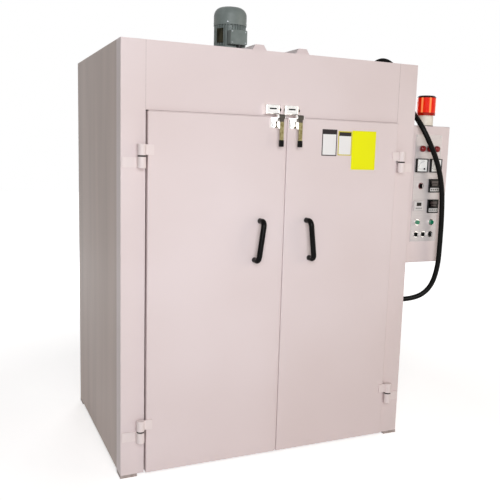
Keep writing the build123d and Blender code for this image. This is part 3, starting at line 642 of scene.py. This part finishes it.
chrome = bright_chrome()
black_and_slot_shade = near_black_and_slot_shade()
dress(chrome, "latch_keepers", "left_latch_base", "right_latch_base")
for side in ("left", "right"):
    # The arm runs down into the middle of the grip, so the grip's points say where it lies.
    lever = nodes[f"{side}_latch_lever"]
    grip_middle = lever_low.z + GRIP_LENGTH / 2
    grip_points = [v.co.x for v in lever.data.vertices if v.co.z < grip_middle]
    arm_left = (min(grip_points) + max(grip_points) - LEVER_WIDTH) / 2 - 1 * mm
    dress(lever_plating(f"{side}_lever_plating", arm_left), f"{side}_latch_lever")
keeper_low, keeper_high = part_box("latch_keepers")
keeper_middle = (keeper_low.z + keeper_high.z) / 2
keeper_lefts = (keeper_low.x, keeper_high.x - ROLLER_STUB - KEEPER_WIDTH)
throat = bar(THROAT_WIDTH, THROAT_HEIGHT, THROAT_PROUD, 1 * mm, 12)
throat_y = keeper_low.y + THROAT_SETBACK
throats = [(x + KEEPER_WIDTH / 2, throat_y, keeper_middle + THROAT_RISE) for x in keeper_lefts]
# The throats are near-black strips: painted shade inside the keepers' slots.
skin("keeper_throats", placed(throat, throats, FRONT), "cabinet", black_and_slot_shade)
roller = turned([(ROLLER_RADIUS, 0.5 * mm), (ROLLER_RADIUS, ROLLER_LENGTH - 1.4 * mm),
                 (ROLLER_RADIUS - 1.2 * mm, ROLLER_LENGTH)])
roller_y = (keeper_low.y + keeper_high.y) / 2
rollers = [(x + KEEPER_WIDTH, roller_y, keeper_middle) for x in keeper_lefts]
skin("catch_rollers", placed(roller, rollers, RIGHT), "cabinet", black_and_slot_shade)
door_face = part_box("right_door_panel")[0].y
for side in ("left", "right"):
    base_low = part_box(f"{side}_latch_base")[0]
    screws = [(base_low.x + BASE_SCREW_INSET, door_face - LATCH_BASE_THICK, base_low.z + rise)
              for rise in BASE_SCREW_RISES]
    rings = placed(pan_screw(BASE_SCREW_RADIUS), screws, FRONT)
    skin(f"{side}_base_screws", rings, f"{side}_door", zinc)

# Cards: three sheets of printed vinyl film stuck on the right door, two white ones with a dark
# head band and a plain yellow one. Each has its left, right, lower and upper edge in
# millimetres, and the colours of its paper, its rim and its head band.
CARD_PROUD = 0.5 * mm
CARD_RIM = 5 * mm
CARD_BAND = 24 * mm
CARDS = {
    "left_card": ((215, 300, 1535, 1665), ("EDEBEA", "3B3536", "2B2527")),
    "middle_card": ((307, 387, 1539, 1659), ("EDEBEA", "CFC23A", "2B2527")),
    "yellow_card": ((388, 531, 1469, 1664), ("EFEF06", "E8E60A", "EFEF06")),
}


def printed_vinyl(name, paper, rim, band, low, high):
    """Glossy printed film: one colour inside, another along the rim, and a dark band across the head."""
    material, shader, place = blank(name)
    parts = add(material, "ShaderNodeSeparateXYZ", links={"Vector": place})
    above_band = {"operation": "GREATER_THAN", 1: high[2] - CARD_BAND}
    head = add(material, "ShaderNodeMath", above_band, {0: parts.outputs["Z"]}).outputs[0]
    inside = blend_colours(material, shader, head, paper, band, 0.0, 1.0)
    limits = (("X", "LESS_THAN", low[0] + CARD_RIM), ("X", "GREATER_THAN", high[0] - CARD_RIM),
              ("Z", "LESS_THAN", low[2] + CARD_RIM), ("Z", "GREATER_THAN", high[2] - CARD_RIM))
    strips = []
    for axis, operation, limit in limits:
        beyond = {"operation": operation, 1: limit}
        strips.append(add(material, "ShaderNodeMath", beyond, {0: parts.outputs[axis]}).outputs[0])
    edge = strips[0]
    for strip in strips[1:]:
        edge = add(material, "ShaderNodeMath", {"operation": "MAXIMUM"}, {0: edge, 1: strip}).outputs[0]
    blend_colours(material, shader, edge, inside, rim, 0.0, 1.0)
    shader.inputs["Roughness"].default_value = 0.3
    shader.inputs["Specular IOR Level"].default_value = 0.2
    return material


for name, ((left, right, bottom, top), tones) in CARDS.items():
    low = (left * mm, door_face, bottom * mm)
    high = (right * mm, door_face, top * mm)
    card = bar((right - left) * mm, (top - bottom) * mm, CARD_PROUD, 2 * mm, 16)
    middle = ((left + right) / 2 * mm, door_face, (bottom + top) / 2 * mm)
    vinyl = printed_vinyl(name + "_vinyl", *tones, low, high)
    skin(name, placed(card, [middle], FRONT), "right_door", vinyl)

# Control box: folded cabinet hung on the right wall, with a grey instrument plate
# of brushed and lacquered aluminium screwed to its front.
PLATE_GREY = "CBC4C4"
PLATE_GREY_DARK = "BFB9B9"
PLATE_GRAIN_WIDTH = 2.5 * mm
PLATE_GRAIN_LENGTH = 200 * mm


def lacquered_aluminium():
    """Brushed aluminium under clear lacquer: pale grey, with a sideways grain drawn coarse to show."""
    material, shader, place = blank("lacquered_aluminium")
    stretch = (PLATE_GRAIN_LENGTH / PLATE_GRAIN_WIDTH, 1, 1)
    grain = noise(material, place, PLATE_GRAIN_WIDTH, 3.0, stretch)
    blend_colours(material, shader, grain, PLATE_GREY, PLATE_GREY_DARK, 0.3, 0.8)
    shader.inputs["Metallic"].default_value = 0.25
    shader.inputs["Roughness"].default_value = 0.42
    return material


dress(front_enamel, "control_box")
dress(lacquered_aluminium(), "instrument_plate")
plate_low, plate_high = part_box("instrument_plate")
panel_face = plate_low.y

# Instruments: red signal lamps in chrome rings, two moving-coil meters, two temperature
# controllers and a timer in moulded cases, a key switch, three selectors and two push buttons.
LAMP_RING_HEIGHT = 9 * mm


def lamp_lens():
    """Red polycarbonate dome over a chrome ring: glossy dark red, and metal close to the panel."""
    material, shader, place = blank("red_lamp_lens")
    depth = add(material, "ShaderNodeSeparateXYZ", links={"Vector": place}).outputs["Y"]
    near_panel = {"operation": "GREATER_THAN", 1: panel_face - LAMP_RING_HEIGHT}
    ring = add(material, "ShaderNodeMath", near_panel, {0: depth}).outputs[0]
    glass = blend_colours(material, shader, noise(material, place, 5 * mm), "900A12", "70060C")
    blend_colours(material, shader, ring, glass, "8E6A6A", 0.0, 1.0)
    material.node_tree.links.new(ring, shader.inputs["Metallic"])
    shader.inputs["Roughness"].default_value = 0.14
    shader.inputs["Specular IOR Level"].default_value = 0.2
    return material


black_abs = moulded_plastic("black_abs", "0F0F0F", "171717", 0.35, gloss=0.12)
dress(lamp_lens(), "indicator_lamps")
dress(moulded_plastic("black_phenolic_case", "111112", "19191A", 0.25, gloss=0.12), "panel_meters")
dress(black_abs, "temperature_controllers", "key_switch",
      "left_selector", "middle_selector", "right_selector")
dress(moulded_plastic("light_grey_abs", "DDD9D8", "D0CCCB", 0.4), "timer")
dress(chrome, "switch_bezels")
green_abs = moulded_plastic("green_button_abs", "0E8A62", "0B7553", 0.22)
dress(green_abs, "left_push_button", "right_push_button")

# Meter dials: a white card in each moving-coil meter, printed with a quadrant scale. The
# pivots lie low on the right under black covers, and the pointers rest on zero.
DIAL_RECESS = 3 * mm
DIAL_RIM = 4.5 * mm
DIAL_THICK = 0.5 * mm
PRINT_THICK = 0.2 * mm
LINE_WIDTH = 0.7 * mm
SCALE_RADIUS = 40 * mm
TICK_LENGTH = 5 * mm
TICK_ANGLES = range(90, 181, 9)
PIVOT = (15 * mm, -19 * mm)
PIVOT_RADIUS = 5.5 * mm
PIVOT_HEIGHT = 2.2 * mm
POINTER_LENGTH = 36 * mm
POINTER_WIDTH = 1.1 * mm
POINTER_THICK = 0.5 * mm
POINTER_OUT = 1.2 * mm


def plain_plastic(name, colour, rough, gloss=0.5):
    """Printed or moulded detail of one even colour."""
    return moulded_plastic(name, colour, colour, rough, gloss)


def arc_band(radius, width, thick, start, stop, count=24):
    """Rings of a flat band bent along an arc: four corners at each angle from start to stop."""
    rings = []
    for angle in np.linspace(start, stop, count + 1):
        out = np.array([np.cos(angle), np.sin(angle), 0])
        near, far = out * (radius - width / 2), out * (radius + width / 2)
        rise = np.array([0, 0, thick])
        rings.append([near, far, far + rise, near + rise])
    return np.array(rings)


white_print = plain_plastic("white_print", "FAFAF8", 0.3)
black_print = plain_plastic("black_print", "131313", 0.4, 0.2)
meter_low, meter_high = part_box("panel_meters")
meter_side = meter_high.z - meter_low.z
dial_y = meter_low.y + DIAL_RECESS
meter_middle = (meter_low.z + meter_high.z) / 2
dials = [(x, dial_y, meter_middle) for x in (meter_low.x + meter_side / 2, meter_high.x - meter_side / 2)]
dial_card = bar(meter_side - 2 * DIAL_RIM, meter_side - 2 * DIAL_RIM, DIAL_THICK)
skin("meter_dials", placed(dial_card, dials, FRONT), "cabinet", white_print)
scale_arc = arc_band(SCALE_RADIUS, LINE_WIDTH, PRINT_THICK, math.pi / 2, math.pi)
scale_arc = moved(scale_arc, *PIVOT, DIAL_THICK)
skin("meter_scales", placed(scale_arc, dials, FRONT), "cabinet", black_print)
tick = moved(bar(TICK_LENGTH, LINE_WIDTH, PRINT_THICK), right=SCALE_RADIUS + TICK_LENGTH / 2)
turned_ticks = [moved(spun(tick, math.radians(angle)), *PIVOT, DIAL_THICK) for angle in TICK_ANGLES]
ticks = [placed(turned_tick, dials, FRONT) for turned_tick in turned_ticks]
skin("meter_ticks", np.concatenate(ticks), "cabinet", black_print)
pointer_middle = PIVOT[0] - POINTER_LENGTH / 2 - 2 * mm
pointer = moved(bar(POINTER_LENGTH, POINTER_WIDTH, POINTER_THICK), pointer_middle, PIVOT[1], POINTER_OUT)
skin("meter_pointers", placed(pointer, dials, FRONT), "cabinet", black_print)
pivot_cover = turned([(PIVOT_RADIUS, 0), (PIVOT_RADIUS, PIVOT_HEIGHT - 0.6 * mm),
                      (PIVOT_RADIUS - 1 * mm, PIVOT_HEIGHT)])
pivot_cover = moved(pivot_cover, *PIVOT, 0.4 * mm)
skin("meter_pivots", placed(pivot_cover, dials, FRONT), "cabinet", black_print)

# Controllers and timer: smoked acrylic windows over the dark displays, and grey fields with four
# moulded keys each, snapped into the fronts. A size is a width and a height.
CONTROLLER_HEIGHT = 74 * mm
WINDOW_SIZE = (62 * mm, 37 * mm)
WINDOW_UP = 13 * mm
WINDOW_THICK = 0.7 * mm
DISPLAYS = ((44 * mm, 13 * mm, 20 * mm), (36 * mm, 9 * mm, 5 * mm))
KEY_FIELD_SIZE = (60 * mm, 19 * mm)
KEY_FIELD_UP = -21 * mm
KEY_WIDTH = 9 * mm
KEY_HEIGHT = 7 * mm
KEY_BEVEL = 1 * mm
KEY_SHIFTS = (-21 * mm, -7 * mm, 7 * mm, 21 * mm)
TIMER_WINDOW_SIZE = (31 * mm, 19 * mm)
TIMER_WINDOW_UP = 9 * mm
TIMER_KEYS_UP = -13 * mm
TIMER_KEY_SHIFTS = (-16 * mm, -5 * mm, 6 * mm, 17 * mm)
unit_low, unit_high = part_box("temperature_controllers")
unit_x = (unit_low.x + unit_high.x) / 2
units = [(unit_x, unit_low.y, unit_high.z - CONTROLLER_HEIGHT / 2),
         (unit_x, unit_low.y, unit_low.z + CONTROLLER_HEIGHT / 2)]
smoked = moulded_plastic("smoked_window", "060606", "0B0909", 0.12, gloss=0.12)
key_grey = plain_plastic("key_field_grey", "D2D0CE", 0.5)
window = moved(bar(*WINDOW_SIZE, WINDOW_THICK), up=WINDOW_UP)
skin("controller_windows", placed(window, units, FRONT), "cabinet", smoked)
displays = [placed(moved(bar(width, height, PRINT_THICK), up=up, out=WINDOW_THICK), units, FRONT)
            for width, height, up in DISPLAYS]
dead_display = plain_plastic("dead_display", "2A1A1A", 0.3)
skin("controller_displays", np.concatenate(displays), "cabinet", dead_display)
key_field = moved(bar(*KEY_FIELD_SIZE, WINDOW_THICK), up=KEY_FIELD_UP)
skin("controller_key_fields", placed(key_field, units, FRONT), "cabinet", key_grey)
key = stacked([(KEY_WIDTH, KEY_HEIGHT, 0), (KEY_WIDTH, KEY_HEIGHT, 0.8 * mm),
               (KEY_WIDTH - KEY_BEVEL, KEY_HEIGHT - KEY_BEVEL, 1.2 * mm)], 1.5 * mm, 16)
keys = [placed(moved(key, shift, KEY_FIELD_UP, WINDOW_THICK), units, FRONT) for shift in KEY_SHIFTS]
dark_keys = plain_plastic("key_dark", "5A5856", 0.5)
skin("controller_keys", np.concatenate(keys), "cabinet", dark_keys)
timer_low, timer_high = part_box("timer")
timer_place = [((timer_low.x + timer_high.x) / 2, timer_low.y, (timer_low.z + timer_high.z) / 2)]
timer_window = moved(bar(*TIMER_WINDOW_SIZE, WINDOW_THICK), right=1 * mm, up=TIMER_WINDOW_UP)
skin("timer_window", placed(timer_window, timer_place, FRONT), "cabinet", smoked)
timer_keys = [placed(moved(key, shift, TIMER_KEYS_UP), timer_place, FRONT) for shift in TIMER_KEY_SHIFTS]
grey_keys = plain_plastic("timer_key_grey", "8D8A89", 0.5)
skin("timer_keys", np.concatenate(timer_keys), "cabinet", grey_keys)

# Knobs and plate screws: a white line painted along each grip, a maroon collar of anodised
# aluminium under the key switch, and six zinc-plated pan screws that hold the plate.
KNOB_BODIES = {
    "key_switch": "key_knob",
    "left_selector": "left_knob",
    "middle_selector": "middle_knob",
    "right_selector": "right_knob",
}
KNOB_LINE_WIDTH = 2.6 * mm
KNOB_LINE_LENGTH = 17 * mm
KNOB_LINE_THICK = 0.4 * mm
COLLAR_RADIUS = 17.3 * mm
COLLAR_BORE = 12.6 * mm
COLLAR_THICK = 1.2 * mm
PLATE_SCREW_RADIUS = 3 * mm
PLATE_SCREW_SIDE = 7 * mm
PLATE_SCREW_END = 9 * mm
knob_line = bar(KNOB_LINE_WIDTH, KNOB_LINE_LENGTH, KNOB_LINE_THICK)
for name, body in KNOB_BODIES.items():
    knob_low, knob_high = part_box(name)
    place = [((knob_low.x + knob_high.x) / 2, knob_low.y, (knob_low.z + knob_high.z) / 2)]
    skin(f"{name}_line", placed(knob_line, place, FRONT), body, white_print)
key_low, key_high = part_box("key_switch")
bezel_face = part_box("switch_bezels")[0].y
key_place = [((key_low.x + key_high.x) / 2, bezel_face, (key_low.z + key_high.z) / 2)]
maroon = plain_plastic("maroon_collar", "64121E", 0.3)
collar_rings = placed(collar(COLLAR_RADIUS, COLLAR_BORE, COLLAR_THICK), key_place, FRONT)
skin("key_collar", collar_rings, "cabinet", maroon, looped=True)
screw_sides = (plate_low.x + PLATE_SCREW_SIDE, plate_high.x - PLATE_SCREW_SIDE)
screw_rows = (plate_low.z + PLATE_SCREW_END, (meter_low.z + unit_high.z) / 2, plate_high.z - PLATE_SCREW_END)
plate_screws = [(x, panel_face, z) for x in screw_sides for z in screw_rows]
screw_rings = placed(pan_screw(PLATE_SCREW_RADIUS), plate_screws, FRONT)
skin("plate_screws", screw_rings, "cabinet", zinc)

# Beacon: an ivory moulded base on top of the control box, bedded on a dark rubber ring, and
# a ribbed lens of red-orange acrylic screwed onto it.
GASKET_WIDTH = 1.8 * mm
GASKET_HEIGHT = 4 * mm
RIB_COUNT = 60
CAP_BAND = 11 * mm
FOOT_BAND = 14 * mm
# Number of pale stripes round the lens: painted highlights.
HIGHLIGHT_STRIPE_COUNT = 7
beacon_low, beacon_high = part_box("beacon_lens")
beacon_x = (beacon_low.x + beacon_high.x) / 2
beacon_y = (beacon_low.y + beacon_high.y) / 2


def beacon_lens():
    """Red-orange acrylic: fine ribs sin(60 t), pale stripes cos(7 t) that are painted highlights, a dark cap
    rim and a deep red foot.
    """
    material, shader, place = blank("orange_acrylic_lens")
    to_middle = {"Location": (-beacon_x, -beacon_y, 0)}
    centred = add(material, "ShaderNodeMapping", to_middle, {"Vector": place}).outputs[0]
    parts = add(material, "ShaderNodeSeparateXYZ", links={"Vector": centred})
    sides = {0: parts.outputs["Y"], 1: parts.outputs["X"]}
    turn = add(material, "ShaderNodeMath", {"operation": "ARCTAN2"}, sides).outputs[0]
    per_rib = {"operation": "MULTIPLY", 1: RIB_COUNT}
    rib_phase = add(material, "ShaderNodeMath", per_rib, {0: turn}).outputs[0]
    ribs = add(material, "ShaderNodeMath", {"operation": "SINE"}, {0: rib_phase}).outputs[0]
    per_highlight_stripe = {"operation": "MULTIPLY", 1: HIGHLIGHT_STRIPE_COUNT}
    highlight_stripe_phase = add(material, "ShaderNodeMath", per_highlight_stripe, {0: turn}).outputs[0]
    highlight_stripes = add(material, "ShaderNodeMath", {"operation": "COSINE"}, {0: highlight_stripe_phase}).outputs[0]
    glass = blend_colours(material, shader, ribs, "C81400", "DC1E02", -1.0, 1.0)
    # The pale orange stripes are painted highlights, and glow with the rest of the lens.
    glass = blend_colours(material, shader, highlight_stripes, glass, "FF9A5A", 0.5, 1.05)
    cap = {"operation": "GREATER_THAN", 1: beacon_high.z - CAP_BAND}
    foot = {"operation": "LESS_THAN", 1: beacon_low.z + FOOT_BAND}
    cap_part = add(material, "ShaderNodeMath", cap, {0: parts.outputs["Z"]}).outputs[0]
    foot_part = add(material, "ShaderNodeMath", foot, {0: parts.outputs["Z"]}).outputs[0]
    capped = blend_colours(material, shader, cap_part, glass, "2E0A05", 0.0, 1.0)
    tone = blend_colours(material, shader, foot_part, capped, "8E1404", 0.0, 1.0)
    material.node_tree.links.new(tone, shader.inputs["Emission Color"])
    shader.inputs["Emission Strength"].default_value = 0.4
    shader.inputs["Roughness"].default_value = 0.12
    shader.inputs["Specular IOR Level"].default_value = 0.08
    bumped(material, shader, [(ribs, 0.25, 1 * mm)])
    return material


dress(moulded_plastic("ivory_abs", "F3ECDF", "E8DFCF", 0.45), "beacon_base")
dress(beacon_lens(), "beacon_lens")
foot_low, foot_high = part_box("beacon_base")
foot_radius = (foot_high.x - foot_low.x) / 2
gasket_ring = collar(foot_radius + GASKET_WIDTH, foot_radius, GASKET_HEIGHT, 48)
gasket_ring = placed(gasket_ring, [(beacon_x, beacon_y, foot_low.z)], ROOF)
skin("beacon_gasket", gasket_ring, "cabinet", black_and_slot_shade, looped=True)

# Conduit: one length of black PVC-covered flexible conduit, from an elbow under the terminal box
# over the roof, past the front edge and down beside the control box to an elbow in the wall.
# The route is the solid conduit's own, with some of its points by the front edge moved.
CONDUIT_DIAMETER = 28 * mm
CONDUIT_START = (0.054, 0.047, 2.090)
CONDUIT_ROUTE = [
    (0.185, 0.047, 2.090), (0.318, 0.032, 2.063), (0.455, 0.004, 2.036), (0.596, -0.036, 2.032),
    (0.744, -0.118, 2.030), (0.803, -0.182, 2.094), (0.828, -0.290, 2.026), (0.838, -0.364, 1.916),
    (0.833, -0.428, 1.797), (0.828, -0.535, 1.716), (0.883, -0.559, 1.608), (0.942, -0.560, 1.500),
    (0.983, -0.554, 1.373), (0.997, -0.550, 1.230), (1.000, -0.547, 1.079), (1.001, -0.542, 0.938),
    (0.978, -0.522, 0.818), (0.903, -0.488, 0.752),
]
WALL_ELBOW = Vector((0.808, -0.434, 0.742))
GLAND_LENGTH = 24 * mm


def pvc_cover():
    """Black soft PVC extruded over a steel spiral: half gloss, with a long faint waviness."""
    material, shader, place = blank("black_pvc_cover")
    blend_colours(material, shader, noise(material, place, 60 * mm), "0A0A09", "121210")
    shader.inputs["Roughness"].default_value = 0.24
    shader.inputs["Specular IOR Level"].default_value = 0.07
    bumped(material, shader, [(noise(material, place, 8 * mm, 1.0), 0.1, 0.4 * mm)])
    return material


conduit_end = WALL_ELBOW + (Vector(CONDUIT_ROUTE[-1]) - WALL_ELBOW).normalized() * GLAND_LENGTH
conduit_line = bpy.data.curves.new("flexible_conduit", "CURVE")
conduit_line.dimensions = "3D"
conduit_line.bevel_depth = CONDUIT_DIAMETER / 2
conduit_line.bevel_resolution = 6
conduit_line.resolution_u = 16
conduit_line.use_fill_caps = True
spline = conduit_line.splines.new("NURBS")
route = [CONDUIT_START] + CONDUIT_ROUTE + [tuple(conduit_end)]
spline.points.add(len(route) - 1)
for point, at in zip(spline.points, route):
    point.co = (*at, 1.0)
spline.order_u = 3
spline.use_endpoint_u = True
conduit_line.materials.append(pvc_cover())
conduit = bpy.data.objects.new("flexible_conduit", conduit_line)
bpy.context.scene.collection.objects.link(conduit)
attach(conduit, "cabinet")
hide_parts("conduit")
dress(moulded_plastic("black_polyamide_gland", "121213", "1C1C1E", 0.4, gloss=0.3), "conduit_glands")

# Studio: pale floor, soft key light from the viewer's side, weak fills on the other sides,
# and an even pale surround.
KEY_PLACE = (-1.3, -4.4, 2.2)
KEY_POWER = 129
LIGHT_SIZE = 2.5
DAYLIGHT = (0.97, 0.98, 1.0)
WARM_LIGHT = (1.0, 0.86, 0.68)
FILLS = [
    ((4.2, -3.2, 2.0), 40, WARM_LIGHT),
    ((1.5, 6.0, 3.2), 110, DAYLIGHT),
    ((-5.0, 2.5, 3.0), 8, WARM_LIGHT),
]
SURROUND = 0.13
FLOOR_LIFT = 0.6
FLOOR_FAR_LIFT = 1.0
FLOOR_HALF = 20.0
SHADOW_REACH = (1.6, 5.0)
AIM = Vector((0.1, 0.0, 1.0))


def surround_light():
    """Even grey light on the object from all sides, seen as white by the camera and in gloss."""
    world = bpy.data.worlds.new("studio_surround")
    world.use_nodes = True
    world.node_tree.nodes.clear()
    paths = add(world, "ShaderNodeLightPath").outputs
    bounces = {0: paths["Is Glossy Ray"], 1: paths["Is Transmission Ray"]}
    bounced = add(world, "ShaderNodeMath", {"operation": "MAXIMUM"}, bounces).outputs[0]
    views = {0: paths["Is Camera Ray"], 1: bounced}
    seen = add(world, "ShaderNodeMath", {"operation": "MAXIMUM"}, views).outputs[0]
    levels = {"To Min": SURROUND, "To Max": 1.0}
    strength = add(world, "ShaderNodeMapRange", levels, {"Value": seen}).outputs[0]
    background = add(world, "ShaderNodeBackground", {"Color": (1, 1, 1, 1)}, {"Strength": strength})
    add(world, "ShaderNodeOutputWorld", links={"Surface": background.outputs[0]})
    bpy.context.scene.world = world


def area_light(name, place, power, colour):
    """Square soft box that faces the oven."""
    data = bpy.data.lights.new(name, "AREA")
    data.energy = power
    data.color = colour
    data.size = LIGHT_SIZE
    lamp = bpy.data.objects.new(name, data)
    turn = (AIM - Vector(place)).to_track_quat("-Z", "Y")
    lamp.matrix_world = Matrix.Translation(place) @ turn.to_matrix().to_4x4()
    bpy.context.scene.collection.objects.link(lamp)


def studio_floor():
    """Pale matt floor that keeps a soft shadow and is nearly white to the camera."""
    material = bpy.data.materials.new("pale_floor")
    material.use_nodes = True
    material.node_tree.nodes.clear()
    matt = add(material, "ShaderNodeBsdfDiffuse", {"Color": srgb("F2F0EF")})
    paths = add(material, "ShaderNodeLightPath").outputs
    views = {0: paths["Is Camera Ray"], 1: paths["Is Glossy Ray"]}
    seen = add(material, "ShaderNodeMath", {"operation": "MAXIMUM"}, views).outputs[0]
    place = add(material, "ShaderNodeTexCoord").outputs["Object"]
    distance = add(material, "ShaderNodeVectorMath", {"operation": "LENGTH"}, {0: place}).outputs["Value"]
    spread = {"From Min": SHADOW_REACH[0], "From Max": SHADOW_REACH[1],
              "To Min": FLOOR_LIFT, "To Max": FLOOR_FAR_LIFT}
    lift = add(material, "ShaderNodeMapRange", spread, {"Value": distance}).outputs[0]
    lift = add(material, "ShaderNodeMath", {"operation": "MULTIPLY"}, {0: lift, 1: seen}).outputs[0]
    glow = add(material, "ShaderNodeEmission", {"Color": (1, 1, 1, 1)}, {"Strength": lift})
    both = add(material, "ShaderNodeAddShader", links={0: matt.outputs[0], 1: glow.outputs[0]})
    add(material, "ShaderNodeOutputMaterial", links={"Surface": both.outputs[0]})
    mesh = bpy.data.meshes.new("studio_floor")
    corners = [(FLOOR_HALF * x, FLOOR_HALF * y, 0) for x, y in ((-1, -1), (1, -1), (1, 1), (-1, 1))]
    mesh.from_pydata(corners, [], [(0, 1, 2, 3)])
    mesh.materials.append(material)
    floor = bpy.data.objects.new("studio_floor", mesh)
    bpy.context.scene.collection.objects.link(floor)


surround_light()
area_light("key_light", KEY_PLACE, KEY_POWER, DAYLIGHT)
for number, (place, power, colour) in enumerate(FILLS):
    area_light(f"fill_light_{number}", place, power, colour)
studio_floor()
bpy.context.scene.view_settings.view_transform = "Standard"

# Camera: at eye height, left of the oven, as the photograph was taken. Its axes are the
# picture's right and down, and the way that it looks.
FOCAL_LENGTH = 48.07
SENSOR_WIDTH = 36.0
CAMERA_PLACE = (-1.4549, -3.4746, 1.5459)
CAMERA_RIGHT = (0.91487298, -0.40271453, 0.02878264)
CAMERA_DOWN = (-0.0328231, -0.14524118, -0.98885168)
CAMERA_FORWARD = (0.40240537, 0.90372894, -0.14609557)
view = bpy.data.cameras.new("photo_view")
view.sensor_width = SENSOR_WIDTH
view.lens = FOCAL_LENGTH
camera = bpy.data.objects.new("photo_view", view)
columns = [CAMERA_RIGHT, [-c for c in CAMERA_DOWN], [-c for c in CAMERA_FORWARD], CAMERA_PLACE]
camera.matrix_world = Matrix([[column[i] for column in columns] for i in range(3)] + [[0, 0, 0, 1]])
bpy.context.scene.collection.objects.link(camera)
bpy.context.scene.camera = camera
